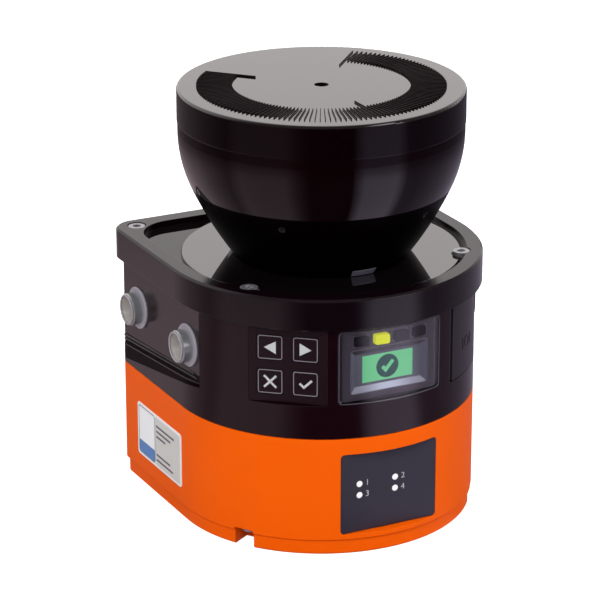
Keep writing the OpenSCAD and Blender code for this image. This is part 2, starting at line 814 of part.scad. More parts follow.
module keypad_board() {
  color(c_board) difference() {
    facing(-keypad_turn)
      translate([-key_well_w / 2 - 1, -keypad_back + key_cavity, keypad_mid - key_well_h / 2 - 1])
        cube([key_well_w + 2, board_t, key_well_h + 2]);
    // kept clear of the screw columns
    for (p = screw_places) translate([p[0], p[1], body_z]) cylinder(r = column_r + 0.3, h = body_h);
  }
}

// ---------- display ----------

module display_window() {
  color([0.6, 0.62, 0.66, 0.35]) intersection() {
    face_block(display_w - 0.2, display_h - 0.2, display_corner_r, display_low + 0.1, -plate_half,
      -screen_face - display_wall);
    tube(body_half, body_half - display_t, display_low - 1, display_low + display_h + 1);
  }
}

module display_bezel() {
  color([0.25, 0.25, 0.28]) difference() {
    face_block(display_w - 4, display_h - 1, 1, display_low + 0.5, -screen_face - display_wall,
      -screen_face);
    face_block(screen_w, screen_h, 0.6, screen_low, -plate_half, 0);
  }
}

module display_screen() {
  color([0.4, 0.78, 0.53])
    face_block(screen_w, screen_h, 0.6, screen_low, -screen_face, -screen_face + screen_t);
}

module display_board() {
  color(c_board) translate([-screen_w / 2 - 3, -screen_face + screen_t, screen_low - 2])
    cube([screen_w + 6, board_t, screen_h + 5]);
}

// Light block that stands on the bezel and ends just behind the curved window.
module light_on_bezel(k) {
  intersection() {
    translate([light_face_r * sin((k - 1.5) * light_pitch), 0, 0])
      face_block(light_w, light_h, 0.6, light_mid - light_h / 2, -plate_half, -screen_face - display_wall);
    cylinder(r = light_face_r, h = plate_z, $fn = 360);
  }
}

module indicator_lights() {
  color([0.2, 0.21, 0.24]) for (k = [0, 2, 3]) light_on_bezel(k);
}

module indicator_light_lit() {
  color([0.85, 0.88, 0.05]) light_on_bezel(1);
}

// ---------- port flap ----------

// Plan of a stretch of round wall between two directions from the front.
module wall_plan(outer, inner, from, to) {
  intersection() {
    difference() {
      circle(r = outer);
      circle(r = inner);
    }
    polygon([[0, 0], [sin(from), -cos(from)] * 2 * outer, [sin(to), -cos(to)] * 2 * outer]);
  }
}

module port_flap() {
  color([0.16, 0.14, 0.15]) translate([0, 0, flap_low]) linear_extrude(flap_h) difference() {
    union() {
      wall_plan(body_half, body_half - flap_t, hinge_turn - 1, flap_end_turn);
      translate(hinge_xy) circle(r = knuckle_r);
    }
    translate(hinge_xy) circle(r = hinge_pin_r + 0.05);
  }
}

module flap_hinge_pin() {
  color(c_steel) translate([hinge_xy[0], hinge_xy[1], flap_low - 3])
    cylinder(r = hinge_pin_r, h = plate_z - flap_low + 3);
}

module service_port() {
  color(c_steel) facing(port_angle) difference() {
    face_block(port_shell_w, port_shell_h, 0.5, port_mid - port_shell_h / 2,
      -port_floor - port_shell_out, -port_floor + port_shell_l);
    face_block(port_shell_w - 2 * port_shell_t, port_shell_h - 2 * port_shell_t, 0.4,
      port_mid - port_shell_h / 2 + port_shell_t, -plate_half, -port_floor + port_shell_l - 1);
  }
}

rating_from = flap_end_turn + 3.6;
rating_angle = 26;
rating_h = 10.5;
rating_drop = 12;
rating_t = 0.15;
rating_film = 0.05;

module rating_plate() {
  color([0.8, 0.81, 0.83]) wall_arc(body_half + rating_film + rating_t, body_half + rating_film,
    rating_from, rating_from + rating_angle, plate_z - rating_drop, rating_h);
}

// ---------- top plate ----------

module plate_seal() {
  color([0.1, 0.1, 0.1]) d_ring(plate_seal_half, plate_seal_back, 6, seal_w, plate_z - seal_h, plate_z);
}

plate_hole_r = tube_r + 0.7;
plate_hollow = plate_seal_half - seal_w - 1;
boss_top = plate_top - screw_head_h - 0.2;
disc_seat_chamfer = 0.3;

module top_plate() {
  color([0.15, 0.13, 0.14]) difference() {
    union() {
      difference() {
        d_slab(plate_half, plate_back, plate_corner_r, plate_z, plate_top, 0.3, plate_chamfer);
        d_prism(plate_half - rim_w, plate_back - rim_w - 1, recess_corner_r, sunk_z, plate_top + 1);
      }
      // raised disc that carries the funnel, and bosses under the front screws
      translate([0, 0, sunk_z - 1]) cylinder(r = disc_seat_r, h = disc_seat_h + 1 - disc_seat_chamfer);
      translate([0, 0, neck_z - disc_seat_chamfer])
        cylinder(r1 = disc_seat_r, r2 = disc_seat_r - disc_seat_chamfer, h = disc_seat_chamfer);
      for (k = [0, 1]) translate([screw_places[k][0], screw_places[k][1], sunk_z - 1])
        cylinder(r = boss_r, h = boss_top - sunk_z + 1);
    }
    d_prism(plate_hollow, plate_seal_back - seal_w - 1, 6, plate_z - 1, sunk_z - plate_floor_t);
    translate([0, 0, plate_z]) cylinder(r = plate_hole_r, h = plate_t + 1);
    for (p = screw_places) {
      translate([p[0], p[1], plate_z - 1]) cylinder(r = screw_hole_r, h = plate_t + 2);
      translate([p[0], p[1], boss_top]) cylinder(r = screw_head_r + 0.35, h = plate_t);
    }
  }
}

module plate_screws() {
  color(c_steel) for (p = screw_places) translate([p[0], p[1], boss_top + screw_head_h])
    screw_down(boss_top + screw_head_h - plate_z + screw_grip);
}

// ---------- funnel, window and column ----------

window_r = cap_r - 0.2;
window_drop = window_arc_r - sqrt(pow(window_arc_r, 2) - pow(window_turn - window_low, 2));
window_low_r = window_r - window_drop;
// centre of the funnel's arc, from its two end points and radius
chord = [window_low_r - neck_r, window_low - neck_z];
chord_l = norm(chord);
funnel_in = 8;
chord_off = sqrt(pow(funnel_arc_r, 2) - pow(chord_l / 2, 2));
funnel_c = [
  (window_low_r + neck_r) / 2 - chord[1] / chord_l * chord_off,
  (window_low + neck_z) / 2 + chord[0] / chord_l * chord_off
];

// Section between two arcs of the funnel's centre, between two heights.
module funnel_section(outer, inner, z0, z1) {
  intersection() {
    translate(funnel_c) difference() {
      circle(r = outer, $fn = 360);
      circle(r = inner, $fn = 360);
    }
    translate([neck_r - funnel_in, z0]) square([window_low_r - neck_r + 2 * funnel_in, z1 - z0]);
  }
}

// Section of the window's wall from its lower edge to the cap.
module window_section(outer_cut, thick) {
  translate([window_r - window_arc_r, window_turn]) intersection() {
    difference() {
      circle(r = window_arc_r - outer_cut, $fn = 360);
      circle(r = window_arc_r - outer_cut - thick, $fn = 360);
    }
    translate([0, window_low - window_turn]) square([window_arc_r + 1, window_turn - window_low]);
  }
  translate([window_r - outer_cut - thick, window_turn]) square([thick, cap_z - window_turn]);
}

neck_light_places = [0, 120, 240];
funnel_screw_places = [27, 99, 171, 243, 315];
funnel_screw_z = window_low - 4.4;
funnel_head_r = 1.3;
funnel_head_h = 0.9;
funnel_screw_r = 0.8;
funnel_screw_l = 4.6;
ring_gap = 0.1;
ring_t = 3.1;
ring_h = 8;
neck_light_low = 0.2;
neck_light_out = 0.15;

module funnel_screw_frame(angle) {
  slope = asin((funnel_screw_z - funnel_c[1]) / funnel_arc_r);
  r = funnel_c[0] + funnel_arc_r * cos(slope);
  facing(angle) translate([0, -r, funnel_screw_z]) rotate([90 - slope, 0, 0]) children();
}

module neck_light(outer) {
  for (a = neck_light_places) rotate([0, 0, a - 90 - neck_light_angle / 2])
    rotate_extrude(angle = neck_light_angle)
      funnel_section(outer, funnel_arc_r - 1, neck_z + neck_light_low,
        neck_z + neck_light_low + neck_light_h);
}

module funnel() {
  color(c_black) difference() {
    rotate_extrude() funnel_section(funnel_arc_r, funnel_arc_r - funnel_t, neck_z, window_low);
    neck_light(funnel_arc_r + 1);
    for (a = funnel_screw_places) funnel_screw_frame(a) {
      translate([0, 0, -1]) cylinder(r = funnel_head_r + 0.05, h = 3);
      translate([0, 0, -funnel_screw_l - 1]) cylinder(r = funnel_screw_r, h = funnel_screw_l + 1);
    }
  }
}

module neck_lights() {
  color([0.45, 0.45, 0.6]) neck_light(funnel_arc_r + neck_light_out);
}

module funnel_screws() {
  color(c_steel) for (a = funnel_screw_places) funnel_screw_frame(a) difference() {
    union() {
      translate([0, 0, -1]) cylinder(r = funnel_head_r, h = funnel_head_h);
      translate([0, 0, -funnel_screw_l]) cylinder(r = funnel_screw_r, h = funnel_screw_l - 1 + eps);
    }
    translate([0, 0, -funnel_head_h / 2 - 0.15]) cylinder(r = funnel_head_r * 0.58, h = 2, $fn = 6);
  }
}

module window_ring() {
  color(c_black) difference() {
    rotate_extrude()
      funnel_section(funnel_arc_r - funnel_t - ring_gap, funnel_arc_r - funnel_t - ring_gap - ring_t,
        window_low - ring_h, window_low);
    for (a = funnel_screw_places) funnel_screw_frame(a)
      translate([0, 0, -funnel_t - ring_t - 2]) cylinder(r = funnel_screw_r, h = funnel_t + ring_t + 2);
  }
}

module scan_window() {
  color([0.16, 0.14, 0.15, 0.8]) rotate([0, 0, 90 + column_angle / 2])
    rotate_extrude(angle = 360 - column_angle) window_section(0, window_t);
}

module rear_column() {
  color(c_black) rotate([0, 0, 90 - column_angle / 2])
    rotate_extrude(angle = column_angle) window_section(0.05, column_t);
}

// ---------- cap ----------

rib_count = floor(scan_angle / rib_pitch / 2);

module scale_rib(angle, inner) {
  facing(angle) translate([-rib_t / 2, -rib_outer_r, total_h - 1])
    cube([rib_t, rib_outer_r - inner, rib_h + 1]);
}

module scan_cap() {
  color(c_gloss) {
    difference() {
      rotate_extrude() difference() {
        union() {
          translate([0, cap_z]) square([cap_r, cap_h - cap_edge_r]);
          translate([0, cap_z]) square([cap_r - cap_edge_r, cap_h]);
          translate([cap_r - cap_edge_r, total_h - cap_edge_r]) circle(r = cap_edge_r);
        }
        translate([-1, cap_z - 1]) square([cap_r - cap_skirt_t + 1, cap_under - cap_z + 1]);
      }
      translate([0, 0, total_h - eye_depth]) cylinder(r = eye_r, h = eye_depth + 1);
    }
    for (k = [-rib_count:rib_count])
      scale_rib(k * scan_angle / 2 / rib_count, k == 0 || abs(k) == rib_count ? rib_long_r : rib_inner_r);
  }
}

// ---------- fixed optics ----------

tube_floor = 3;
tube_low = plate_z - 20;
tube_top = scan_mid - mirror_r - 3;
tube_flange_t = 2.5;
cable_hole_r = 3;
lens_h = 9;
lens_z = tube_top - lens_h - 2;
lens_edge = 3;
lens_ball_r = 48;
lens_seat = 2;
lens_ring_t = 1.2;
lens_ring_h = 2;
lens_ring_gap = 0.6;
laser_low = 6;
laser_l = 15.5;
laser_collar_l = 5;
laser_collar_t = 1.5;
detector_z = tube_low + tube_floor;
detector_w = 8;
detector_h = 3;

module optics_tube() {
  color([0.3, 0.3, 0.32]) difference() {
    union() {
      tube(tube_r, tube_r - tube_wall, tube_low, tube_top);
      tube(chassis_hole_r + 3.5, tube_r - tube_wall, plate_z, plate_z + tube_flange_t);
      tube(tube_r - 1, tube_r - tube_wall - lens_seat, lens_z - lens_seat, lens_z);
      translate([0, 0, tube_low]) cylinder(r = tube_r - 1, h = tube_floor);
    }
    translate([0, 0, tube_low - 1]) cylinder(r = cable_hole_r, h = tube_floor + 2);
  }
}

module receiver_lens() {
  color([0.75, 0.85, 0.9, 0.4]) difference() {
    intersection() {
      translate([0, 0, lens_z]) cylinder(r = tube_r - tube_wall, h = lens_h);
      union() {
        translate([0, 0, lens_z]) cylinder(r = tube_r - tube_wall, h = lens_edge);
        translate([0, 0, lens_z + lens_h - lens_ball_r]) sphere(r = lens_ball_r);
      }
    }
    translate([0, 0, lens_z - 1]) cylinder(r = laser_r, h = lens_h + 3);
  }
}

module lens_ring() {
  low = lens_z + lens_edge + lens_ring_gap;
  color(c_black) tube(tube_r - tube_wall, tube_r - tube_wall - lens_ring_t, low, low + lens_ring_h);
}

module laser_module() {
  color([0.6, 0.5, 0.25]) {
    translate([0, 0, lens_z - laser_low]) cylinder(r = laser_r, h = laser_l);
    translate([0, 0, lens_z - laser_collar_l]) cylinder(r = laser_r + laser_collar_t, h = laser_collar_l);
  }
}

module detector_board() {
  color(c_board) translate([0, 0, detector_z]) cylinder(r = tube_r - tube_wall - 0.5, h = board_t);
}

module detector() {
  color([0.1, 0.1, 0.12]) translate([-detector_w / 2, -detector_w / 2, detector_z + board_t])
    cube([detector_w, detector_w, detector_h]);
}

// ---------- motor and rotor ----------

mount_plate_t = 1.5;
mount_r = 24;
mount_z = cap_under - mount_plate_t;
hub_wall = 2.2;
bearing_gap = 0.4;
hub_low = mount_z - 2 * bearing_h - bearing_gap;
stator_r = 16.5;
stator_h = 4;
stator_low = hub_low + 0.6;
slot_w = 2;
slot_count = 9;
bell_r = 19.6;
bell_gap = 0.7;
bell_t = 1.4;
bell_z = hub_low - 0.5 - bell_t;
disc_r = 32;
disc_t = 0.6;
disc_inner_r = mirror_r + 0.5;
disc_gap = 0.6;
motor_board_r = 40;
reader_w = 8;
mirror_t = 2;
block = 100;

module motor_mount() {
  color([0.55, 0.56, 0.58]) difference() {
    union() {
      translate([0, 0, mount_z]) cylinder(r = mount_r, h = mount_plate_t);
      translate([0, 0, hub_low]) cylinder(r = bearing_r + hub_wall, h = mount_z - hub_low + 1);
    }
    translate([0, 0, hub_low - 1]) cylinder(r = bearing_r, h = mount_z - hub_low + 1);
    translate([0, 0, hub_low - 1]) cylinder(r = shaft_r + 0.6, h = 20);
  }
}

module motor_bearings() {
  color(c_steel) for (k = [0, 1]) tube(bearing_r, shaft_r + 0.05,
    mount_z - (k + 1) * bearing_h - k * bearing_gap, mount_z - k * (bearing_h + bearing_gap));
}

module motor_stator() {
  color([0.62, 0.36, 0.18]) difference() {
    tube(stator_r, bearing_r + hub_wall, stator_low, stator_low + stator_h);
    for (k = [1:slot_count]) rotate([0, 0, k * 360 / slot_count])
      translate([bearing_r + 5, -slot_w / 2, hub_low]) cube([stator_r, slot_w, stator_h + 2]);
  }
}

module motor_board() {
  color(c_board) difference() {
    union() {
      tube(motor_board_r, bell_r + 2 * bell_gap, mount_z - board_t, mount_z);
      // encoder reader that straddles the rim of the encoder disc
      translate([disc_r - reader_w / 2, -reader_w / 2, bell_z - disc_t - 2])
        cube([reader_w, reader_w, mount_z - bell_z + 2]);
    }
    translate([disc_r - reader_w / 2 - 1, -reader_w / 2 - 1, bell_z - disc_t - disc_gap])
      cube([reader_w / 2 + 1 + disc_gap, reader_w + 2, disc_t + 2 * disc_gap + bell_t]);
  }
}

module rotor() {
  color([0.5, 0.5, 0.53]) {
    translate([0, 0, bell_z]) cylinder(r = shaft_r, h = mount_z + 0.8 - bell_z);
    translate([0, 0, bell_z]) cylinder(r = bell_r, h = bell_t);
    tube(bell_r, stator_r + bell_gap, bell_z + 1, hub_low + 5);
    // wedge that carries the mirror
    intersection() {
      translate([0, 0, scan_mid - mirror_r]) cylinder(r = mirror_r, h = bell_z - scan_mid + mirror_r + 0.5);
      translate([0, 0, scan_mid]) rotate([-45, 0, 0])
        translate([-block / 2, -block / 2, mirror_t]) cube(block);
    }
  }
}

module scan_mirror() {
  color([0.85, 0.87, 0.9]) intersection() {
    translate([0, 0, scan_mid - mirror_r]) cylinder(r = mirror_r, h = 2 * mirror_r);
    translate([0, 0, scan_mid]) rotate([-45, 0, 0]) translate([-block / 2, -block / 2, 0])
      cube([block, block, mirror_t]);
  }
}

module encoder_disc() {
  color([0.7, 0.72, 0.75]) tube(disc_r, disc_inner_r, bell_z - disc_t, bell_z);
}

base_housing();
base_board();
status_plate();
status_light_pipes();
status_board();
power_inlet_shell();
power_inlet_insert();
power_inlet_pins();
base_screws();
side_label();
base_seal();
link_header();
link_socket();
main_housing();
main_board();
socket_shell_rear();
socket_shell_front();
socket_nuts();
socket_inserts();
socket_contacts();
keypad_plate();
key_left();
key_right();
key_cancel();
key_confirm();
key_switches();
keypad_board();
display_window();
display_bezel();
display_screen();
indicator_lights();
indicator_light_lit();
display_board();
port_flap();
flap_hinge_pin();
service_port();
rating_plate();
plate_seal();
top_plate();
plate_screws();
optics_tube();
receiver_lens();
lens_ring();
laser_module();
detector_board();
detector();
funnel();
funnel_screws();
neck_lights();
window_ring();
scan_window();
rear_column();
motor_mount();
motor_bearings();
motor_stator();
motor_board();
rotor();
scan_mirror();
encoder_disc();
scan_cap();
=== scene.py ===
import bpy
import json
import math
import bmesh
from mathutils import Matrix, Vector


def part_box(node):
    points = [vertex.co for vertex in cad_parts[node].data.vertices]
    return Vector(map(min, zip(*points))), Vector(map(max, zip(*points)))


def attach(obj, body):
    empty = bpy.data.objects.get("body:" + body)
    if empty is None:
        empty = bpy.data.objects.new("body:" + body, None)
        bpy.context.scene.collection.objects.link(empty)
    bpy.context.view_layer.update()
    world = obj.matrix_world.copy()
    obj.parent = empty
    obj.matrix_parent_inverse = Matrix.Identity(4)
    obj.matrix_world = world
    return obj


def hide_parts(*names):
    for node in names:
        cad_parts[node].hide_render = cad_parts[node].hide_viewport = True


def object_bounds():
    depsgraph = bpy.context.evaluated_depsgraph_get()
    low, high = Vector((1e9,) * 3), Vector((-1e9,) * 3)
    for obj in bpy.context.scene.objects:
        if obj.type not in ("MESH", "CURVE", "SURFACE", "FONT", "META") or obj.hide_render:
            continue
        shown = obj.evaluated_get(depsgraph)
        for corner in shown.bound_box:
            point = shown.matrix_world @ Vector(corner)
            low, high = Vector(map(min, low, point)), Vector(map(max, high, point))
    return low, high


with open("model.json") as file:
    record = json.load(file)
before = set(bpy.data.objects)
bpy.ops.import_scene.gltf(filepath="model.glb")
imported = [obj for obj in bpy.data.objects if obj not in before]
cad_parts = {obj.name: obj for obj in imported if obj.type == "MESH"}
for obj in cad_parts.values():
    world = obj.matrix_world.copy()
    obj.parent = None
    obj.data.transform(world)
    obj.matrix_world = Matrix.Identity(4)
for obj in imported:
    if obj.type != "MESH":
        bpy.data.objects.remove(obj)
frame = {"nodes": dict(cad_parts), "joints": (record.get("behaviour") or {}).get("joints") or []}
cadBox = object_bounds()
nodes = frame["nodes"]
mm = 0.001
up = Vector((0, 0, 1))
materials = {}


def newPiece(name, verts, faces, material, body, smooth=False):
    mesh = bpy.data.meshes.new(name)
    mesh.from_pydata([tuple(v) for v in verts], [], faces)
    mesh.validate()
    bm = bmesh.new()
    bm.from_mesh(mesh)
    bmesh.ops.recalc_face_normals(bm, faces=bm.faces)
    bm.to_mesh(mesh)
    bm.free()
    piece = bpy.data.objects.new(name, mesh)
    bpy.context.scene.collection.objects.link(piece)
    mesh.materials.append(materials[material])
    for polygon in mesh.polygons:
        polygon.use_smooth = smooth
    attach(piece, body)
    return piece


def softenEdges(piece, width):
    bevel = piece.modifiers.new("softEdge", "BEVEL")
    bevel.width = width
    bevel.segments = 2
    bevel.limit_method = "ANGLE"
    bevel.angle_limit = math.radians(35)
    bevel.harden_normals = False


class Sheet:    # a place to draw on: a point, the way right and the way out
    def __init__(self, origin, right, out, radius=None):
        self.origin, self.right, self.out, self.radius = Vector(origin), Vector(right), Vector(out), radius

    def at(self, x, z, height=0.0):
        if self.radius is None:
            return self.origin + self.right * x + up * z + self.out * height
        angle = x / self.radius    # the sheet is bent round the scan axis
        out = Matrix.Rotation(angle, 3, "Z") @ self.out
        return Vector((0, 0, self.origin.z + z)) + out * (self.radius + height)


def platePoints(sheet, outline, low, high):
    return [sheet.at(x, z, h) for h in (low, high) for x, z in outline]


def addPlate(name, sheet, outline, low, high, material, body, hole=None):
    n = len(outline)
    verts = platePoints(sheet, outline, low, high)
    if hole is None:
        faces = [list(range(n)), list(range(n, 2 * n))]
        faces += [[i, (i + 1) % n, n + (i + 1) % n, n + i] for i in range(n)]
    else:
        verts += platePoints(sheet, hole, low, high)
        faces = []
        for i in range(n):
            j = (i + 1) % n
            faces += [[i, j, n + j, n + i], [2 * n + i, 2 * n + j, 3 * n + j, 3 * n + i],
                      [i, j, 2 * n + j, 2 * n + i], [n + i, n + j, 3 * n + j, 3 * n + i]]
    return newPiece(name, verts, faces, material, body)


def roundedRect(w, h, r, centre=(0, 0), steps=6):
    points = []
    for cx, cz, start in ((w / 2 - r, h / 2 - r, 0), (r - w / 2, h / 2 - r, 90),
                          (r - w / 2, r - h / 2, 180), (w / 2 - r, r - h / 2, 270)):
        for k in range(steps + 1):
            a = math.radians(start + 90 * k / steps)
            points.append((centre[0] + cx + r * math.cos(a), centre[1] + cz + r * math.sin(a)))
    return points


def subdivideOutline(points, longest):
    out = []
    for (ax, az), (bx, bz) in zip(points, points[1:] + points[:1]):
        count = max(1, math.ceil(math.hypot(bx - ax, bz - az) / longest))
        out += [(ax + (bx - ax) * k / count, az + (bz - az) * k / count) for k in range(count)]
    return out


def circlePoints(r, centre=(0, 0), steps=32):
    angles = [2 * math.pi * k / steps for k in range(steps)]
    return [(centre[0] + r * math.cos(a), centre[1] + r * math.sin(a)) for a in angles]


def strokeOutline(points, width):    # a thick line, square at its ends
    left, right = [], []
    for i, point in enumerate(points):
        here = Vector(point)
        before = (here - Vector(points[i - 1])).normalized() if i else None
        after = (Vector(points[i + 1]) - here).normalized() if i + 1 < len(points) else None
        d1, d2 = before or after, after or before
        n1, n2 = Vector((-d1.y, d1.x)), Vector((-d2.y, d2.x))
        mitre = (n1 + n2).normalized()
        mitre *= width / 2 / max(mitre.dot(n1), 0.3)
        left.append(tuple(here + mitre))
        right.append(tuple(here - mitre))
    return left + right[::-1]


def addLathe(name, origin, axis, profile, material, body, steps=64):    # a profile turned round an axis
    axis = Vector(axis).normalized()
    side = axis.orthogonal().normalized()
    other = axis.cross(side)
    verts, faces = [], []
    for k in range(steps):
        a = 2 * math.pi * k / steps
        spoke = side * math.cos(a) + other * math.sin(a)
        verts += [Vector(origin) + spoke * r + axis * h for r, h in profile]
    n = len(profile)
    for k in range(steps):
        for i in range(n):
            j = (i + 1) % n
            m = (k + 1) % steps
            faces.append([k * n + i, k * n + j, m * n + j, m * n + i])
    piece = newPiece(name, verts, faces, material, body, smooth=True)
    piece.data.set_sharp_from_angle(angle=math.radians(28))
    return piece


def faceSheet(node, out):    # the sheet on one side of a CAD node
    out = Vector(out).normalized()
    low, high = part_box(node)
    reach = max(v.co.dot(out) for v in nodes[node].data.vertices)
    middle = (low + high) / 2
    middle += out * (reach - middle.dot(out))
    return Sheet(middle, out.cross(up) * -1, out)


def feed(tree, node, inputs):    # gives each input a value, or another node's output
    for label, value in inputs.items():
        if isinstance(value, bpy.types.NodeSocket):
            tree.links.new(value, node.inputs[label])
        else:
            node.inputs[label].default_value = value


def addNode(tree, kind, inputs=None, **settings):
    node = tree.nodes.new(kind)
    for key, value in settings.items():
        setattr(node, key, value)
    feed(tree, node, inputs or {})
    return node


def calc(tree, operation, *values, kind="ShaderNodeMath"):
    return addNode(tree, kind, dict(enumerate(values)), operation=operation).outputs["Value"]


def mapRange(tree, value, fromMin, fromMax, toMin=0.0, toMax=1.0, curve="LINEAR"):
    inputs = {"Value": value, "From Min": fromMin, "From Max": fromMax, "To Min": toMin, "To Max": toMax}
    return addNode(tree, "ShaderNodeMapRange", inputs, interpolation_type=curve).outputs["Result"]


def mixColor(tree, share, first, second):
    return addNode(tree, "ShaderNodeMix", {0: share, 6: first, 7: second}, data_type="RGBA").outputs[2]


def mixValue(tree, share, first, second):
    return addNode(tree, "ShaderNodeMix", {0: share, 2: first, 3: second}, data_type="FLOAT").outputs[0]


def mixShader(tree, share, first, second):
    return addNode(tree, "ShaderNodeMixShader", {0: share, 1: first.outputs[0], 2: second.outputs[0]})


def splitVector(tree, vector):
    return addNode(tree, "ShaderNodeSeparateXYZ", {"Vector": vector}).outputs


def objectPlace(tree):
    return addNode(tree, "ShaderNodeTexCoord").outputs["Object"]


def fedBy(node, label):    # the output that feeds an input
    return node.inputs[label].links[0].from_socket


def newGroup(name, inputs, outputs):
    group = bpy.data.node_groups.new(name, "ShaderNodeTree")
    for label, value in inputs.items():
        given = group.interface.new_socket(name=label, in_out="INPUT", socket_type="NodeSocketFloat")
        given.default_value = value
    for label, kind in outputs.items():
        group.interface.new_socket(name=label, in_out="OUTPUT", socket_type=kind)
    return group, group.nodes.new("NodeGroupInput").outputs, group.nodes.new("NodeGroupOutput")


def grainGroup():    # fine grain, and slow patches of tone
    group, given, result = newGroup("surfaceGrain", {"Scale": 2500.0, "Patch Scale": 60.0},
                                    {"Height": "NodeSocketFloat", "Patch": "NodeSocketFloat"})
    place = objectPlace(group)
    fine = addNode(group, "ShaderNodeTexNoise",
                   {"Vector": place, "Scale": given["Scale"], "Detail": 3.0, "Roughness": 0.6})
    slow = addNode(group, "ShaderNodeTexNoise",
                   {"Vector": place, "Scale": given["Patch Scale"], "Detail": 2.0, "Roughness": 0.5})
    feed(group, result, {"Height": fine.outputs["Fac"], "Patch": slow.outputs["Fac"]})
    return group


edgeStart, edgeFull = 0.995, 0.85    # how well the rounded normal agrees with the flat one


def edgeGroup():    # rounds sharp edges and marks them
    group, given, result = newGroup("softEdge", {"Radius": 0.0004},
                                    {"Normal": "NodeSocketVector", "Edge": "NodeSocketFloat"})
    rounded = addNode(group, "ShaderNodeBevel", {"Radius": given["Radius"]}, samples=6).outputs["Normal"]
    plain = addNode(group, "ShaderNodeNewGeometry").outputs["True Normal"]
    match = calc(group, "DOT_PRODUCT", rounded, plain, kind="ShaderNodeVectorMath")
    feed(group, result, {"Normal": rounded, "Edge": mapRange(group, match, edgeStart, edgeFull)})
    return group


grain = grainGroup()
edges = edgeGroup()
coatRoughness = 0.03
edgeHighlightLift = 0.02    # painted highlight: lightens the edges of nearly black colours


def newMaterial(name):
    materials[name] = bpy.data.materials.new(name)
    materials[name].use_nodes = True
    return materials[name].node_tree


def makeMaterial(name, color, roughness, roughSwing=0.05, specular=0.5, metallic=0.0, coat=0.0, emission=0.0,
                 grainScale=2500.0, grainHeight=0.000004, tone=0.06, edgeHighlightTone=0.0, edgeRadius=0.0003):
    tree = newMaterial(name)
    shader = tree.nodes["Principled BSDF"]
    grainOut = addNode(tree, "ShaderNodeGroup", {"Scale": grainScale}, node_tree=grain).outputs
    edgeOut = addNode(tree, "ShaderNodeGroup", {"Radius": edgeRadius}, node_tree=edges).outputs
    dark = [c * (1 - tone) for c in color]
    pale = [min(1, c * (1 + tone)) for c in color]
    # painted highlight: the edges are lightened
    edgeHighlight = [min(1, c * (1 + edgeHighlightTone) + edgeHighlightTone * edgeHighlightLift) for c in color]
    base = mixColor(tree, grainOut["Patch"], (*dark, 1), (*pale, 1))
    base = mixColor(tree, edgeOut["Edge"], base, (*edgeHighlight, 1))
    smoothest = max(0.0, roughness - roughSwing)
    rough = mapRange(tree, grainOut["Patch"], 0.0, 1.0, smoothest, roughness + roughSwing)
    bump = addNode(tree, "ShaderNodeBump", {"Strength": 1.0, "Distance": grainHeight,
                                            "Height": grainOut["Height"], "Normal": edgeOut["Normal"]})
    feed(tree, shader, {"Base Color": base, "Roughness": rough, "Metallic": metallic, "Coat Weight": coat,
                        "Specular IOR Level": specular, "Coat Roughness": coatRoughness,
                        "Normal": bump.outputs["Normal"]})
    if emission:
        feed(tree, shader, {"Emission Color": base, "Emission Strength": emission})
    return tree, shader


def makeGlass(name, color, roughness, ior):
    tree = newMaterial(name)
    patch = addNode(tree, "ShaderNodeGroup", {"Scale": 300.0}, node_tree=grain).outputs["Patch"]
    rough = mapRange(tree, patch, 0.0, 1.0, roughness * 0.7, roughness * 1.3)
    feed(tree, tree.nodes["Principled BSDF"],
         {"Base Color": (*color, 1), "Transmission Weight": 1.0, "IOR": ior, "Roughness": rough})


def srgb(r, g, b):
    return tuple((c / 255 / 12.92) if c <= 10 else ((c / 255 + 0.055) / 1.055) ** 2.4 for c in (r, g, b))


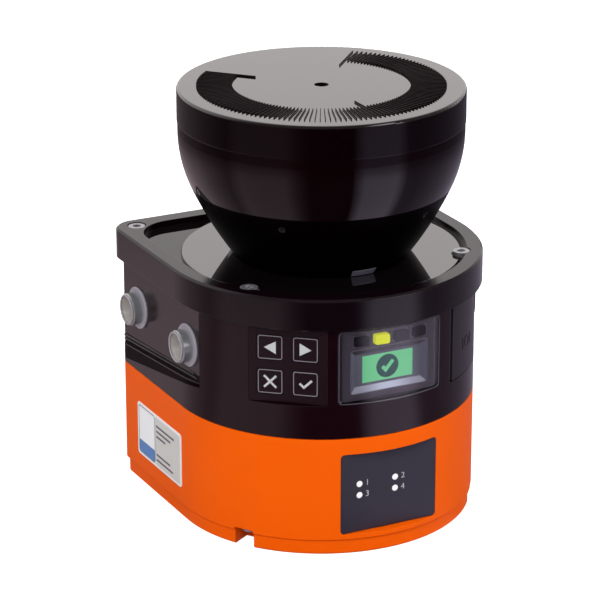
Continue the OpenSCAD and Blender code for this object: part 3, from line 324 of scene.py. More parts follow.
finishes = {
    "orangePaint": dict(color=srgb(235, 90, 0), roughness=0.42, specular=0.06, grainScale=1800,
                        grainHeight=0.000006,
                        tone=0.03, edgeHighlightTone=0.12),
    "blackPaint": dict(color=srgb(21, 3, 9), roughness=0.16, specular=0.45, grainScale=1800,
                       grainHeight=0.000003,
                       edgeHighlightTone=0.5, roughSwing=0.03),
    "funnelBlack": dict(color=srgb(3, 1, 2), roughness=0.35, specular=0.02, grainHeight=0.000001),
    "windowPlastic": dict(color=srgb(9, 1, 3), roughness=0.05, specular=0.5, grainHeight=0.0000005,
                          roughSwing=0.02),
    "capPlastic": dict(color=srgb(8, 1, 3), roughness=0.08, specular=0.3, coat=1.0, grainHeight=0.0000005,
                       roughSwing=0.02),
    "keyPlastic": dict(color=srgb(24, 8, 16), roughness=0.2, specular=0.35, grainHeight=0.000002),
    "mattePlastic": dict(color=srgb(30, 26, 28), roughness=0.5, specular=0.4),
    "flapPlastic": dict(color=srgb(34, 26, 34), roughness=0.32, specular=0.35, grainScale=1500,
                        grainHeight=0.000004),
    "sealRubber": dict(color=srgb(18, 17, 18), roughness=0.7, specular=0.3),
    "socketMetal": dict(color=srgb(176, 178, 182), roughness=0.3, metallic=0.75, tone=0.12,
                        grainHeight=0.000004),
    "socketFlange": dict(color=srgb(170, 165, 176), roughness=0.45, metallic=0.3, tone=0.06,
                         grainHeight=0.000004),
    "socketThroat": dict(color=srgb(176, 171, 166), roughness=0.45, metallic=0.4, tone=0.12),
    "beadBlack": dict(color=srgb(12, 3, 7), roughness=0.12, specular=0.4, grainHeight=0.000001),
    # painted shade: near black and without reflection, for the strips along the foot
    "footShadeBlack": dict(color=srgb(6, 1, 3), roughness=0.12, specular=0.02, grainHeight=0.000001),
    "plateGrey": dict(color=srgb(45, 43, 55), roughness=0.45, specular=0.25, grainHeight=0.000003),
    # painted light: the parts behind the display window glow a little, standing in for the light the window
    # keeps from them
    "bezelGreyPaintedGlow": dict(color=srgb(84, 82, 96), roughness=0.3, specular=0.3, emission=0.5),
    "bezelBlackPaintedGlow": dict(color=srgb(56, 50, 58), roughness=0.3, specular=0.3, emission=0.4),
    "bezelRimPaintedGlow": dict(color=srgb(96, 94, 106), roughness=0.25, emission=0.3),
    "windowRim": dict(color=srgb(70, 66, 76), roughness=0.15, coat=1.0),
    "steel": dict(color=srgb(176, 176, 180), roughness=0.32, metallic=0.8, tone=0.1, grainHeight=0.000002),
    "aluminium": dict(color=srgb(150, 150, 155), roughness=0.4, metallic=1.0, tone=0.1),
    "gold": dict(color=srgb(222, 182, 96), roughness=0.25, metallic=1.0),
    "copper": dict(color=srgb(180, 110, 70), roughness=0.35, metallic=1.0, grainScale=900,
                   grainHeight=0.00002),
    "boardGreen": dict(color=srgb(16, 84, 50), roughness=0.45, tone=0.2, grainScale=700, grainHeight=0.00001),
    "printPale": dict(color=srgb(186, 186, 190), roughness=0.5, specular=0.3),
    "printLine": dict(color=srgb(126, 120, 128), roughness=0.5, specular=0.3),
    # painted light: the unlit indicator lights glow a little
    "lightDarkPaintedGlow": dict(color=srgb(30, 27, 34), roughness=0.5, specular=0.05, emission=0.2),
    "lightLit": dict(color=srgb(216, 220, 4), roughness=0.4, specular=0.2, emission=0.6, tone=0.06),
    # painted light: the screen's grey glass glows a little
    "screenGlassPaintedGlow": dict(color=srgb(76, 77, 88), roughness=0.3, specular=0.3, emission=0.5),
    "screenLit": dict(color=srgb(100, 196, 132), roughness=0.3, emission=0.5, tone=0.05),
    "screenInk": dict(color=srgb(20, 70, 66), roughness=0.4, specular=0.1, emission=0.5),
    "labelWhite": dict(color=srgb(236, 237, 240), roughness=0.4, specular=0.3),
    "labelRule": dict(color=srgb(124, 128, 146), roughness=0.4, specular=0.3),
    "labelInk": dict(color=srgb(92, 88, 98), roughness=0.5, specular=0.3),
    "labelGrey": dict(color=srgb(204, 202, 200), roughness=0.4, specular=0.3),
    "labelBlue": dict(color=srgb(84, 128, 186), roughness=0.4, specular=0.3, tone=0.12),
    "ratingBlack": dict(color=srgb(26, 22, 30), roughness=0.35),
    "lightPipe": dict(color=srgb(226, 228, 232), roughness=0.2, emission=0.15),
    "neckLight": dict(color=srgb(96, 92, 108), roughness=0.3, emission=0.1),
    "mirrorGlass": dict(color=srgb(235, 236, 240), roughness=0.02, metallic=1.0, grainHeight=0.0),
}
for name, finish in finishes.items():
    makeMaterial(name, **finish)
makeGlass("clearWindow", (0.93, 0.94, 0.96), 0.03, 1.45)
makeGlass("lensGlass", (0.9, 0.96, 1.0), 0.01, 1.5)


plateLook = dict(color=(12, 3, 8), floorColor=(12, 8, 10), floorStart=1.0, floorFull=1.3, discDrop=1.9,
                 level=0.9, polish=0.01)    # drops below the rim in mm


def plateMaterial():    # brushed rim, polished floor sunk inside it
    tree, shader = makeMaterial("topPlate", color=srgb(*plateLook["color"]), roughness=0.16, edgeHighlightTone=0.5,
                                roughSwing=0.04, grainScale=1300.0, grainHeight=0.000012)
    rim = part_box("top_plate")[1].z
    height = splitVector(tree, objectPlace(tree))["Z"]
    normal = splitVector(tree, addNode(tree, "ShaderNodeNewGeometry").outputs["True Normal"])
    sunk = mapRange(tree, height, rim - plateLook["floorStart"] * mm, rim - plateLook["floorFull"] * mm)
    polished = calc(tree, "MULTIPLY", sunk, calc(tree, "GREATER_THAN", normal["Z"], plateLook["level"]))
    disc = calc(tree, "GREATER_THAN", height, rim - plateLook["discDrop"] * mm)    # raised, and glossier
    bump = fedBy(shader, "Normal").node
    plain = calc(tree, "SUBTRACT", 1.0, polished)    # no grain where it is polished
    feed(tree, bump, {"Height": calc(tree, "MULTIPLY", fedBy(bump, "Height"), plain)})
    floorColor = (*srgb(*plateLook["floorColor"]), 1)
    rough = mixValue(tree, polished, fedBy(shader, "Roughness"), plateLook["polish"])
    feed(tree, shader, {"Roughness": rough,
                        "Base Color": mixColor(tree, polished, fedBy(shader, "Base Color"), floorColor),
                        "Coat Weight": calc(tree, "MULTIPLY", polished, disc),
                        "Coat Roughness": plateLook["polish"]})


ledgeLook = dict(color=(90, 90, 106), litColor=(138, 142, 162), dimAt=11, litAt=1)


def ledgeMaterial():    # a ledge lit in its middle by the screen above it
    tree, shader = makeMaterial("bezelGlow", color=srgb(*ledgeLook["color"]), roughness=0.25, emission=0.7)
    offset = calc(tree, "ABSOLUTE", splitVector(tree, objectPlace(tree))["X"])
    glow = mapRange(tree, offset, ledgeLook["dimAt"] * mm, ledgeLook["litAt"] * mm, curve="SMOOTHSTEP")
    lit = mixColor(tree, glow, fedBy(shader, "Base Color"), (*srgb(*ledgeLook["litColor"]), 1))
    feed(tree, shader, {"Base Color": lit, "Emission Color": lit})


capLook = dict(ribHeight=0.55, ribRoughness=0.55)


def capMaterial():    # glossy cap with dull ribs
    tree = materials["capPlastic"].node_tree
    shader = tree.nodes["Principled BSDF"]
    height = splitVector(tree, objectPlace(tree))["Z"]
    ribs = calc(tree, "GREATER_THAN", height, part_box("scan_cap")[1].z - capLook["ribHeight"] * mm)
    rough = mixValue(tree, ribs, fedBy(shader, "Roughness"), capLook["ribRoughness"])
    feed(tree, shader, {"Roughness": rough, "Coat Weight": calc(tree, "SUBTRACT", 1.0, ribs)})


plateMaterial()
ledgeMaterial()
capMaterial()

looks = {
    "orangePaint": ["base_housing"],
    "blackPaint": ["main_housing"],
    "topPlate": ["top_plate"],
    "funnelBlack": ["funnel", "rear_column"],
    "windowPlastic": ["scan_window"],
    "capPlastic": ["scan_cap"],
    "keyPlastic": ["keypad_plate", "key_left", "key_right", "key_cancel", "key_confirm"],
    "flapPlastic": ["port_flap"],
    "mattePlastic": ["power_inlet_insert", "link_header", "link_socket", "socket_inserts", "lens_ring",
                     "detector", "funnel_screws"],
    "sealRubber": ["base_seal", "plate_seal"],
    "plateGrey": ["status_plate"],
    "bezelGreyPaintedGlow": ["display_bezel"],
    "screenGlassPaintedGlow": ["display_screen"],
    "clearWindow": ["display_window"],
    "lightDarkPaintedGlow": ["indicator_lights"],
    "lightLit": ["indicator_light_lit"],
    "lightPipe": ["status_light_pipes"],
    "neckLight": ["neck_lights"],
    "labelWhite": ["side_label"],
    "ratingBlack": ["rating_plate"],
    "lensGlass": ["receiver_lens"],
    "mirrorGlass": ["scan_mirror"],
    "gold": ["power_inlet_pins", "socket_contacts", "laser_module"],
    "copper": ["motor_stator"],
    "aluminium": ["optics_tube", "window_ring", "motor_mount", "rotor"],
    "boardGreen": ["base_board", "status_board", "main_board", "keypad_board", "display_board",
                   "detector_board", "motor_board"],
    "steel": ["power_inlet_shell", "base_screws", "socket_shell_rear", "socket_shell_front", "socket_nuts",
              "key_switches", "flap_hinge_pin", "service_port", "plate_screws", "motor_bearings",
              "encoder_disc"],
}
for look, names in looks.items():
    for node in names:
        for place in nodes[node].material_slots:
            place.material = materials[look]
print("materials on", sum(len(names) for names in looks.values()), "nodes")


keypad = dict(frameSize=8.45, frameCorner=0.8, frameLine=0.34, markSize=4.2, lineWidth=0.8)
jointAxis = {joint["name"]: joint["axis"] for joint in frame["joints"]}
markLow, markHigh = -0.02 * mm, 0.05 * mm    # printed marks start just under the surface
markStep = 0.01 * mm    # crossing strokes lie one over the other


def scaled(points, size, dx=0.0, dz=0.0):
    return [((x * size + dx) * mm, (z * size + dz) * mm) for x, z in points]


def keyMark(key):
    half = keypad["markSize"] / 2
    line = keypad["lineWidth"] / half
    if key == "left":
        return [scaled([(-1, 0), (0.95, -1.08), (0.95, 1.08)], half)]
    if key == "right":
        return [scaled([(1, 0), (-0.95, 1.08), (-0.95, -1.08)], half)]
    if key == "cancel":
        return [scaled(strokeOutline([(-1, -1), (1, 1)], line), half),
                scaled(strokeOutline([(-1, 1), (1, -1)], line), half)]
    return [scaled(strokeOutline([(-0.95, 0.05), (-0.25, -0.6), (1.05, 0.65)], line), half)]


for key in ("left", "right", "cancel", "confirm"):
    node = "key_" + key
    face = faceSheet(node, -Vector(jointAxis[key + "_press"]))
    outer = roundedRect(keypad["frameSize"] * mm, keypad["frameSize"] * mm, keypad["frameCorner"] * mm)
    innerSize = keypad["frameSize"] - 2 * keypad["frameLine"]
    inner = roundedRect(innerSize * mm, innerSize * mm, (keypad["frameCorner"] - keypad["frameLine"]) * mm)
    addPlate(f"{node}_frame", face, outer, markLow, markHigh, "printLine", node, hole=inner)
    for k, outline in enumerate(keyMark(key)):
        addPlate(f"{node}_mark_{k}", face, outline, markLow, markHigh + k * markStep, "printPale", node)
print("keypad legends")


socket = dict(outside=4.2, flangeR=7.5, flangeT=0.8, barrelR=5.75, mouthR=5.4, boreR=4.75, coneR=2.9,
              coneDepth=4.6, lipGap=0.06, pinR=0.7, pinRingR=1.55, pinCount=4)


def flatBehind(low):    # where the housing's flat lies behind a socket's flange
    return low.x + (socket["outside"] + socket["flangeT"]) * mm


def networkSocket(node):    # the profiles are pairs of radius and height in mm
    low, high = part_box(node)
    centre = (low + high) / 2
    origin = Vector((flatBehind(low), centre.y, centre.z))
    out = Vector((-1, 0, 0))
    flange, barrelR, mouth = socket["flangeT"], socket["barrelR"], socket["mouthR"]
    bore, cone, pinR = socket["boreR"], socket["coneR"], socket["pinR"]
    tip = socket["outside"] + flange
    end = tip - socket["lipGap"]
    back = (origin.x - high.x) / mm
    depth = tip - socket["coneDepth"]
    plate = [(barrelR - 0.5, flange), (socket["flangeR"] - 0.15, flange), (socket["flangeR"], flange - 0.15),
             (socket["flangeR"], 0.0), (barrelR - 0.5, 0.0)]
    lip = [(bore - 0.03, tip - 0.4), (bore, tip - 0.1), (bore + 0.1, tip), (mouth - 0.15, tip),
           (mouth + 0.03, tip - 0.15), (mouth + 0.03, tip - 0.35)]
    shell = [(barrelR - 0.3, -0.2), (barrelR, -0.4), (barrelR, back), (bore, back), (bore, end - 0.3),
             (bore + 0.3, end), (mouth - 0.15, end), (mouth, end - 0.15), (mouth, end - 0.5),
             (barrelR, end - 0.9), (barrelR, flange + 0.9), (barrelR - 0.3, flange + 0.7),
             (barrelR - 0.3, flange)]
    throat = [(bore - 0.02, tip - 0.5), (cone, depth), (cone, depth - 0.6), (bore - 0.02, depth - 0.6)]
    core = [(0.0, depth - 0.3), (cone, depth - 0.3), (cone, depth - 1.2), (0.0, depth - 1.2)]
    pin = [(pinR - 0.25, depth), (pinR, depth - 0.1), (pinR, depth - 1.0), (pinR - 0.25, depth - 1.0)]

    def turn(part, profile, material, slot, steps, at=origin):
        points = [(r * mm, h * mm) for r, h in profile]
        return addLathe(f"{node}_{part}", at, out, points, material, "scanner", steps=steps)

    turn("flange", plate, "socketFlange", "steel", 96)
    turn("lip", lip, "socketFlange", "steel", 96)
    barrel = turn("barrel", shell, "socketMetal", "steel", 96)
    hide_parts(node)
    turn("throat", throat, "socketThroat", "steel", 64)
    turn("core", core, "mattePlastic", "matte_black", 48)
    for k in range(socket["pinCount"]):
        a = math.pi / 4 + 2 * math.pi * k / socket["pinCount"]
        at = origin + Vector((0, math.cos(a), math.sin(a))) * socket["pinRingR"] * mm
        turn(f"contact_{k}", pin, "gold", "gold", 20, at)


for node in ("socket_shell_rear", "socket_shell_front"):
    networkSocket(node)
print("network sockets")


bead = dict(radius=0.45, pitch=1.3, count=2, inset=1.2, startShort=0.4, stopShort=2.0, curlSteps=6)
shadeStripLook = dict(steps=24, lift=0.04, cornerR=5.0,
             upperBack=(0, 3.4), upperFront=(0, 2.6), lowerBack=(-5.6, -0.4), lowerFront=(-1.6, -0.4))


def addTube(name, points, radius, material, body):    # round bead along a line
    curve = bpy.data.curves.new(name, "CURVE")
    curve.dimensions = "3D"
    curve.bevel_depth = radius
    curve.bevel_resolution = 3
    curve.use_fill_caps = True
    spline = curve.splines.new("POLY")
    spline.points.add(len(points) - 1)
    for place, point in zip(spline.points, points):
        place.co = (*point, 1)
    curve.materials.append(materials[material])
    piece = bpy.data.objects.new(name, curve)
    bpy.context.scene.collection.objects.link(piece)
    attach(piece, body)
    return piece


def flatFoot():    # lower edge of the flat behind the sockets
    mesh = nodes["main_housing"].data
    low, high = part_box("socket_shell_front")
    faceX = flatBehind(low)
    onFlat = [v.co.copy() for v in mesh.vertices if abs(v.co.x - faceX) < 0.02 * mm]
    back = max(onFlat, key=lambda p: p.y - 4 * p.z)    # low counts for more than far back
    front = min((p for p in onFlat if p.z < low.z), key=lambda p: p.y)
    return back, front


footBack, footFront = flatFoot()
along = (footFront - footBack).normalized()
rise = Vector((0, -along.z, along.y)) * (1 if along.y > 0 else -1)
inward = Vector((1, 0, 0))
for k in range(bead["count"]):
    shift = rise * (bead["inset"] + k * bead["pitch"]) * mm
    start = footBack + shift + along * bead["startShort"] * mm
    end = footFront + shift - along * bead["stopShort"] * (1 + k) * mm
    angles = [math.pi / 2 * (i + 1) / bead["curlSteps"] for i in range(bead["curlSteps"])]
    curl = [end + along * mm * math.sin(a) + inward * mm * (1 - math.cos(a)) for a in angles]
    addTube(f"foot_bead_{k}", [start, end] + curl, bead["radius"] * mm, "beadBlack", "scanner")


def footStrip(name, wall, backEdge, frontEdge):    # painted shade: a dark strip along the foot, its heights given at each end
    verts = []
    for k in range(shadeStripLook["steps"] + 1):
        share = k / shadeStripLook["steps"]
        middle = footBack.lerp(footFront, share)
        x = wall(middle.y) - shadeStripLook["lift"] * mm
        for back, front in zip(backEdge, frontEdge):
            verts.append((x, middle.y, middle.z + (back + (front - back) * share) * mm))
    faces = [[2 * k, 2 * k + 2, 2 * k + 3, 2 * k + 1] for k in range(shadeStripLook["steps"])]
    return newPiece(name, verts, faces, "footShadeBlack", "scanner")


housingLow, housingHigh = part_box("main_housing")
cornerR = shadeStripLook["cornerR"] * mm    # the housing's back corners


def wallAt(y):    # how far out the left wall stands at a depth
    reach, turnY = -housingLow.x, housingHigh.y - cornerR
    if y > turnY:
        return -(reach - cornerR + math.sqrt(max(cornerR ** 2 - (y - turnY) ** 2, 0.0)))
    return -math.sqrt(reach ** 2 - min(y, 0.0) ** 2)


# painted shade above and below the beads
footStrip("foot_shade_strip_upper", lambda y: max(footBack.x, wallAt(y)), shadeStripLook["upperBack"], shadeStripLook["upperFront"])
footStrip("foot_shade_strip_lower", wallAt, shadeStripLook["lowerBack"], shadeStripLook["lowerFront"])
print("beads")


flapLook = dict(ring=2.1, line=0.35, height=0.12, below=2.5, barLines=1.6, barRings=1.7)


def flapMark():    # raised ring and two bars
    low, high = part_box("port_flap")
    points = [v.co for v in nodes["port_flap"].data.vertices]
    radius = max(math.hypot(p.x, p.y) for p in points)
    outer = [p for p in points if math.hypot(p.x, p.y) > radius - 0.05 * mm]
    angles = [math.atan2(p.x, -p.y) for p in outer]
    middle = (min(angles) + max(angles)) / 2
    out = Vector((math.sin(middle), -math.cos(middle), 0))
    sheet = Sheet((0, 0, (low.z + high.z) / 2 - flapLook["below"] * mm), (1, 0, 0), out, radius=radius)
    r, line, top = flapLook["ring"] * mm, flapLook["line"] * mm, flapLook["height"] * mm
    addPlate("flap_ring", sheet, circlePoints(r, steps=40), markLow, top, "flapPlastic", "port_flap",
             hole=circlePoints(r - line, steps=40))
    for k, side in enumerate((-1, 1)):
        centre = (side * flapLook["barRings"] * r, 0)
        bar = roundedRect(line * flapLook["barLines"], 2 * r, line / 2, centre, steps=3)
        bar = subdivideOutline(bar, 0.4 * mm)
        addPlate(f"flap_bar_{k}", sheet, bar, markLow, top, "flapPlastic", "port_flap")


class WallSheet:    # round in front, flat along the right side; x is measured along the wall
    def __init__(self, height, radius):
        self.height, self.radius, self.turn = height, radius, radius * math.pi / 2

    def at(self, x, z, height=0.0):
        reach = self.radius + height
        if x > self.turn:
            return Vector((reach, x - self.turn, self.height + z))
        angle = x / self.radius
        return Vector((reach * math.sin(angle), -reach * math.cos(angle), self.height + z))

    def along(self, point):
        return self.turn + point.y if point.y > 0 else self.radius * math.atan2(point.x, -point.y)


ratingLook = dict(stepLength=0.8, lift=0.04)
ratingRows = [(0.32, 0.72, 0.09, 1.4), (0.08, 0.6, 0.03, 0.7), (-0.1, 0.7, 0.08, 0.7),
              (-0.3, 0.5, -0.02, 0.7), (0.36, 0.14, -0.4, 1.6), (0.08, 0.14, -0.4, 2.0),
              (-0.28, 0.14, -0.4, 3.2)]


def ratingBars():    # a row is height, length and shift as shares of the plate, and its thickness in mm
    low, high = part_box("rating_plate")
    corners = [nodes["rating_plate"].matrix_world @ v.co for v in nodes["rating_plate"].data.vertices]
    sheet = WallSheet((low.z + high.z) / 2, max(math.hypot(c.x, min(c.y, 0)) for c in corners))
    places = [sheet.along(c) for c in corners]
    middle, width, height = (min(places) + max(places)) / 2, max(places) - min(places), high.z - low.z
    for k, (z, length, shift, tall) in enumerate(ratingRows):
        start = middle + width * (shift - length / 2)
        count = math.ceil(width * length / (ratingLook["stepLength"] * mm))
        half, top = tall * mm / 2, ratingLook["lift"] * mm
        verts = [sheet.at(start + width * length * i / count, height * z + dz, out) for i in range(count + 1)
                 for dz, out in ((-half, markLow), (half, markLow), (half, top), (-half, top))]
        faces = [[4 * i + j, 4 * i + (j + 1) % 4, 4 * i + 4 + (j + 1) % 4, 4 * i + 4 + j]
                 for i in range(count) for j in range(4)]
        faces += [[0, 1, 2, 3], [4 * count + j for j in range(4)]]
        newPiece(f"rating_bar_{k}", verts, faces, "printPale", "scanner")


flapMark()
ratingBars()
print("flap and rating plate")


display = dict(litWidth=18.9, litHeight=9.6, discRadius=4.15, tickLine=1.35, slope=1.9, bandCorner=1.0,
               openCorner=0.7, rimWidth=0.25, rimCorner=0.9, lightRim=0.35, lightOut=0.3, edgeLine=0.45,
               edgeCorner=1.4)
bezelLow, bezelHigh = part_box("display_bezel")
screenLow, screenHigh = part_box("display_screen")
screenFace = faceSheet("display_screen", (0, -1, 0))
bezelFace = faceSheet("display_bezel", (0, -1, 0))


def slopedFrame(name, sheet, wide, narrow, front, back, materialNames):    # four ledges round a screen
    corners = [(1, -1), (1, 1), (-1, 1), (-1, -1)]
    for k, side in enumerate(("right", "top", "left", "bottom")):
        ends = [corners[k], corners[(k + 1) % 4]]
        verts = [sheet.at(x * wide[0], z * wide[1], front) for x, z in ends]
        verts += [sheet.at(x * narrow[0], z * narrow[1], back) for x, z in ends[::-1]]
        newPiece(f"{name}_{side}", verts, [[0, 1, 2, 3]], materialNames[k], "scanner")


def displayFrame():    # dark band, a bright inner edge that is a painted highlight, sloping ledges with painted light and shade
    width, height = bezelHigh.x - bezelLow.x, bezelHigh.z - bezelLow.z
    depth = bezelHigh.y - bezelLow.y
    screenW, screenH = screenHigh.x - screenLow.x, screenHigh.z - screenLow.z
    drop = screenFace.origin.z - bezelFace.origin.z
    slope, rimWidth = display["slope"] * mm, 2 * display["rimWidth"] * mm
    outer = roundedRect(width, height, display["bandCorner"] * mm)
    opening = roundedRect(screenW, screenH, display["openCorner"] * mm, (0, drop))
    band = addPlate("bezel_band", bezelFace, outer, -depth, -0.1 * mm, "bezelBlackPaintedGlow", "scanner",
                    hole=opening)
    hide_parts("display_bezel")
    softenEdges(band, 0.12 * mm)
    # painted highlight: a pale rim round the opening
    rim = roundedRect(screenW + rimWidth, screenH + rimWidth, display["rimCorner"] * mm, (0, drop))
    addPlate("bezel_rim", bezelFace, rim, -0.15 * mm, 0.05 * mm, "bezelRimPaintedGlow", "scanner",
             hole=opening)
    wide, narrow = (screenW / 2, screenH / 2), (screenW / 2 - slope, screenH / 2 - slope)
    # painted light and shade: the top ledge is dark, the side ledges grey and the bottom ledge lit
    slopedFrame("bezel_ledge", screenFace, wide, narrow, depth - 0.12 * mm, 0.06 * mm,
                ["bezelGreyPaintedGlow", "bezelBlackPaintedGlow", "bezelGreyPaintedGlow", "bezelGlow"])


def indicatorLights():    # a raised frame round each light
    face = bezelFace.origin.y
    for node in ("indicator_lights", "indicator_light_lit"):
        points = [v.co.copy() for v in nodes[node].data.vertices]
        for group in splitByGap(points, 1.0 * mm):
            low = Vector([min(p[i] for p in group) for i in range(3)])
            high = Vector([max(p[i] for p in group) for i in range(3)])
            middle = (low + high) / 2
            rim = display["lightRim"] * mm
            sheet = Sheet((middle.x, face, middle.z), (1, 0, 0), (0, -1, 0))
            w, h = high.x - low.x, high.z - low.z
            outer = roundedRect(w + 2 * rim, h + 2 * rim, 0.5 * mm)
            inner = roundedRect(w + 0.1 * mm, h + 0.1 * mm, 0.3 * mm)
            addPlate(f"{node}_seat_{round(middle.x / mm)}", sheet, outer, 0.0, display["lightOut"] * mm,
                     "bezelRimPaintedGlow", "scanner", hole=inner)


def splitByGap(points, gap):    # groups along X
    points = sorted(points, key=lambda p: p.x)
    groups = [[points[0]]]
    for before, point in zip(points, points[1:]):
        if point.x - before.x > gap:
            groups.append([])
        groups[-1].append(point)
    return groups


def windowRim():    # thin edge of the window, bent round the housing
    low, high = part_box("display_window")
    radius = max(math.hypot(v.co.x, v.co.y) for v in nodes["display_window"].data.vertices)
    width = 2 * radius * math.asin((high.x - low.x) / 2 / radius)
    sheet = Sheet((0, 0, (low.z + high.z) / 2), (1, 0, 0), (0, -1, 0), radius=radius)
    line = display["edgeLine"] * mm
    outline = roundedRect(width - line, high.z - low.z - line, display["edgeCorner"] * mm)
    ring = [sheet.at(x, z, -line / 3) for x, z in subdivideOutline(outline, 1.0 * mm)]
    addTube("window_rim", ring + ring[:2], line / 2, "windowRim", "scanner")


displayFrame()
indicatorLights()
windowRim()
lit = roundedRect(display["litWidth"] * mm, display["litHeight"] * mm, 0.2 * mm, steps=2)
addPlate("screen_lit_field", screenFace, lit, markLow, 0.05 * mm, "screenLit", "scanner")
addPlate("screen_disc", screenFace, circlePoints(display["discRadius"] * mm, steps=48), 0.05 * mm, 0.09 * mm,
         "screenInk", "scanner")
tick = strokeOutline([(-1.9, 0.0), (-0.65, -1.35), (2.1, 1.75)], display["tickLine"])
addPlate("screen_tick", screenFace, scaled(tick, 1), 0.09 * mm, 0.13 * mm, "screenLit", "scanner")
print("display")


statusFace = faceSheet("status_plate", (0, -1, 0))
pipeLow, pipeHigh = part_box("status_light_pipes")
numbers = dict(size=3.0, gap=1.2, thickness=0.05, lightR=1.1, lightLift=0.08)
pipeRadius = numbers["lightR"] * mm
count = 0
for z in (pipeHigh.z - pipeRadius, pipeLow.z + pipeRadius):
    for x in (pipeLow.x + pipeRadius, pipeHigh.x - pipeRadius):
        count += 1
        curve = bpy.data.curves.new(f"status_number_{count}", "FONT")
        curve.body = str(count)
        curve.size = numbers["size"] * mm
        curve.extrude = numbers["thickness"] / 2 * mm
        curve.align_y = "CENTER"
        piece = bpy.data.objects.new(curve.name, curve)
        bpy.context.scene.collection.objects.link(piece)
        curve.materials.append(materials["printPale"])
        face = statusFace.origin.y
        piece.location = (x + pipeRadius + numbers["gap"] * mm, face - numbers["thickness"] / 2 * mm, z)
        piece.rotation_euler = (math.pi / 2, 0, 0)
        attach(piece, "scanner")
        addPlate(f"status_light_{count}", Sheet((x, face, z), (1, 0, 0), (0, -1, 0)),
                 circlePoints(pipeRadius * 1.02, steps=32), markLow, numbers["lightLift"] * mm, "lightPipe",
                 "scanner")

labelLook = dict(border=0.9, corner=1.3, split=0.4, band=0.25, thickness=0.04, barHeight=0.75, line=0.4,
                 bars=[(0.80, 0.78), (0.69, 0.62), (0.58, 0.40), (0.20, 0.60), (0.09, 0.72)])
labelLow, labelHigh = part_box("side_label")
labelFace = faceSheet("side_label", (-1, 0, 0))
labelW, labelH = labelHigh.y - labelLow.y, labelHigh.z - labelLow.z


def sideLabel():    # framed field with a blue band, grey field with plain bars of given heights and lengths
    thin, line = labelLook["thickness"] * mm, labelLook["line"] * mm
    border, corner = labelLook["border"] * mm, labelLook["corner"] * mm
    innerW, innerH = labelW - 2 * border, labelH - 2 * border
    leftW = innerW * labelLook["split"]
    rightW = innerW - leftW
    middle = -rightW / 2

    def lay(name, outline, low, high, material, hole=None):
        return addPlate(f"side_label_{name}", labelFace, outline, low, high, material, "scanner",
                        hole=hole)

    sheet = lay("sheet", roundedRect(labelW, labelH, corner), labelLow.x - labelHigh.x, -thin, "labelWhite")
    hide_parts("side_label")
    field = roundedRect(rightW - line / 2, innerH, 0.3 * mm, (leftW / 2, 0))
    lay("field", field, -2 * thin, -0.6 * thin, "labelGrey")
    outer = roundedRect(leftW, innerH, corner, (middle, 0))
    inner = roundedRect(leftW - 2 * line, innerH - 2 * line, corner - line, (middle, 0))
    lay("frame", outer, -2 * thin, -0.6 * thin, "labelRule", hole=inner)
    bandH = innerH * labelLook["band"]
    band = roundedRect(leftW - 2 * line, bandH, 0.6 * mm, (middle, (bandH - innerH) / 2 + line))
    lay("band", band, -2 * thin, -0.7 * thin, "labelBlue")
    barH = labelLook["barHeight"] * mm
    left = leftW - innerW / 2 + 1.0 * mm
    room = rightW - 1.6 * mm
    for k, (z, length) in enumerate(labelLook["bars"]):
        centre = (left + room * length / 2, (z - 0.5) * innerH + barH / 2)
        bar = roundedRect(room * length, barH, 0.2 * mm, centre, steps=2)
        lay(f"bar_{k}", bar, -0.6 * thin, -0.2 * thin, "labelInk")


sideLabel()
print("base plates")


stage = dict(size=6.0, gap=0.05, cameraWhite=0.86, poolInner=0.25, poolOuter=0.5, poolFar=0.2, heading=-27.5)
softboxes = [(-180, 0.45), (-115, 0.5), (-93, 0.33), (-77, 0.2), (-65, 0.44), (-28, 0.44), (-17, 0.14),
             (-8, 0.02), (24, 0.02), (34, 0.95), (60, 1.0), (70, 0.22), (80, 0.18), (100, 0.25), (180, 0.45)]
tints = dict(left=(1.0, 0.78, 0.84), right=(0.88, 0.76, 1.0))


def softboxRamp(tree, share):    # brightness and tint all round, from a list of heading and brightness
    side = addNode(tree, "ShaderNodeValToRGB", {"Fac": share})
    ramp = side.color_ramp
    for k, (degrees, level) in enumerate(softboxes):
        stop = ramp.elements[k] if k < 2 else ramp.elements.new(1.0)
        stop.position = (degrees + 180) / 360
        stop.color = (*[level * c for c in tints["left" if degrees < 0 else "right"]], 1)
    return side.outputs["Color"]


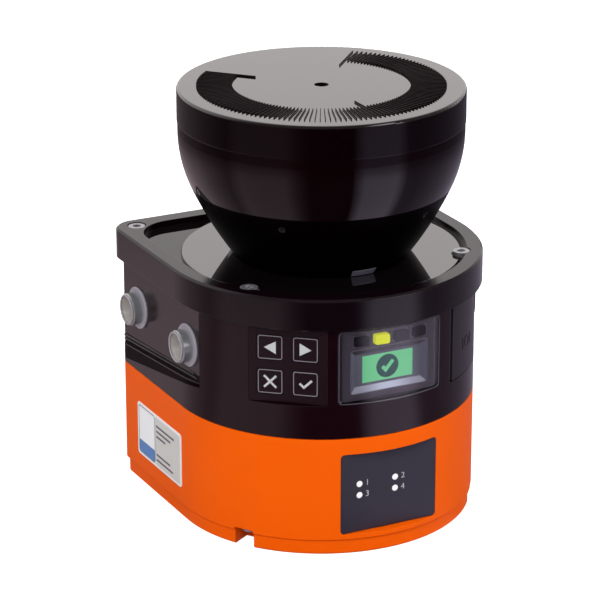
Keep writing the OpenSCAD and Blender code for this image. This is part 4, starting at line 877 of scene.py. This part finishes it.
def floorMaterial():    # white to the camera, softboxes to polished surfaces
    tree = newMaterial("floorPale")
    tree.nodes.clear()
    path = addNode(tree, "ShaderNodeLightPath").outputs
    place = objectPlace(tree)
    spot = splitVector(tree, place)
    distance = calc(tree, "LENGTH", place, kind="ShaderNodeVectorMath")
    inner, outer, far = stage["poolInner"], stage["poolOuter"], stage["poolFar"]
    pool = mapRange(tree, distance, inner, outer, 1.0, far, "SMOOTHSTEP")
    heading = calc(tree, "ARCTAN2", spot["X"], calc(tree, "MULTIPLY", spot["Y"], -1.0))    # 0 in front
    heading = calc(tree, "SUBTRACT", heading, math.radians(stage["heading"]))
    heading = calc(tree, "WRAP", heading, math.pi, -math.pi)
    color = softboxRamp(tree, mapRange(tree, heading, -math.pi, math.pi))
    mirrored = addNode(tree, "ShaderNodeEmission", {"Color": color, "Strength": pool})
    diffuse = addNode(tree, "ShaderNodeBsdfDiffuse", {"Color": (0.5, 0.5, 0.5, 1)})
    white = calc(tree, "MULTIPLY", path["Is Camera Ray"], stage["cameraWhite"])
    glow = addNode(tree, "ShaderNodeEmission", {"Strength": white})
    plain = addNode(tree, "ShaderNodeAddShader", {0: diffuse.outputs["BSDF"], 1: glow.outputs["Emission"]})
    mix = mixShader(tree, path["Is Glossy Ray"], plain, mirrored)
    addNode(tree, "ShaderNodeOutputMaterial", {"Surface": mix.outputs["Shader"]})


floorMaterial()
mesh = bpy.data.meshes.new("floor")
half = stage["size"] / 2
mesh.from_pydata([(-half, -half, 0), (half, -half, 0), (half, half, 0), (-half, half, 0)], [], [[0, 1, 2, 3]])
mesh.materials.append(materials["floorPale"])
floor = bpy.data.objects.new("floor", mesh)
floor.location.z = cadBox[0].z - stage["gap"] * mm
bpy.context.scene.collection.objects.link(floor)

lamps = {
    "keyLight": dict(place=(-0.9, -0.9, 1.1), size=0.8, watts=20.0),
    "fillLight": dict(place=(1.1, -0.7, 0.8), size=1.3, watts=12.5),
    "topLight": dict(place=(0.1, 0.3, 1.4), size=1.0, watts=14.0),
}


room = dict(light=0.36, tint=(0.97, 0.92, 0.92), backFrom=0.05, backTo=0.6, dim=0.2, bright=1.0,
            patchWay=(0.45, -0.75, 0.5), patchEdge=0.94, patchCore=0.99, patchLevel=4.0)


def buildWorld():    # white to the camera, a soft room to all other rays
    world = bpy.data.worlds.new("studio")
    bpy.context.scene.world = world
    world.use_nodes = True
    tree = world.node_tree
    tree.nodes.clear()
    path = addNode(tree, "ShaderNodeLightPath").outputs
    way = addNode(tree, "ShaderNodeTexCoord").outputs["Generated"]
    depth = splitVector(tree, way)["Y"]    # bright behind the object, dim in front of it
    back = mapRange(tree, depth, room["backFrom"], room["backTo"], room["dim"], room["bright"])
    patchWay = Vector(room["patchWay"]).normalized()    # a bright patch, for metal parts
    near = calc(tree, "DOT_PRODUCT", way, patchWay, kind="ShaderNodeVectorMath")
    patch = mapRange(tree, near, room["patchEdge"], room["patchCore"], 0.0, room["patchLevel"], "SMOOTHSTEP")
    level = calc(tree, "ADD", back, patch)
    white = addNode(tree, "ShaderNodeBackground", {"Color": (1, 1, 1, 1), "Strength": 1.0})
    soft = addNode(tree, "ShaderNodeBackground", {"Color": (1, 1, 1, 1), "Strength": room["light"]})
    glossy = addNode(tree, "ShaderNodeBackground", {"Color": (*room["tint"], 1), "Strength": level})
    shiny = calc(tree, "MAXIMUM", path["Is Glossy Ray"], path["Is Transmission Ray"])
    unseen = mixShader(tree, shiny, soft, glossy)
    mix = mixShader(tree, path["Is Camera Ray"], unseen, white)
    addNode(tree, "ShaderNodeOutputWorld", {"Surface": mix.outputs["Shader"]})


buildWorld()

target = Vector((0, 0, 0.07))    # the lamps point at the object's middle
for name, lamp in lamps.items():
    light = bpy.data.lights.new(name, "AREA")
    light.energy = lamp["watts"]
    light.size = lamp["size"]
    piece = bpy.data.objects.new(name, light)
    piece.location = lamp["place"]
    piece.rotation_euler = (target - piece.location).to_track_quat("-Z", "Y").to_euler()
    piece.visible_glossy = False
    bpy.context.scene.collection.objects.link(piece)

view = dict(azimuth=-27.465, pitch=20.188, yaw=0.422, distance=0.98901, height=0.43656, lens=181.4,
            sensor=36.0, reach=20.0)
turn = math.radians(view["azimuth"])
camera = bpy.data.objects.new("camera", bpy.data.cameras.new("camera"))
camera.location = (view["distance"] * math.sin(turn), -view["distance"] * math.cos(turn), view["height"])
down = math.radians(view["pitch"])
heading = math.radians(view["azimuth"] + view["yaw"])
look = Vector((-math.sin(heading) * math.cos(down), math.cos(heading) * math.cos(down), -math.sin(down)))
camera.rotation_euler = look.to_track_quat("-Z", "Y").to_euler()
camera.data.lens = view["lens"]
camera.data.sensor_width = view["sensor"]
camera.data.clip_end = view["reach"]
bpy.context.scene.collection.objects.link(camera)
bpy.context.scene.camera = camera
bpy.context.scene.view_settings.view_transform = "Standard"
print("stage and camera")
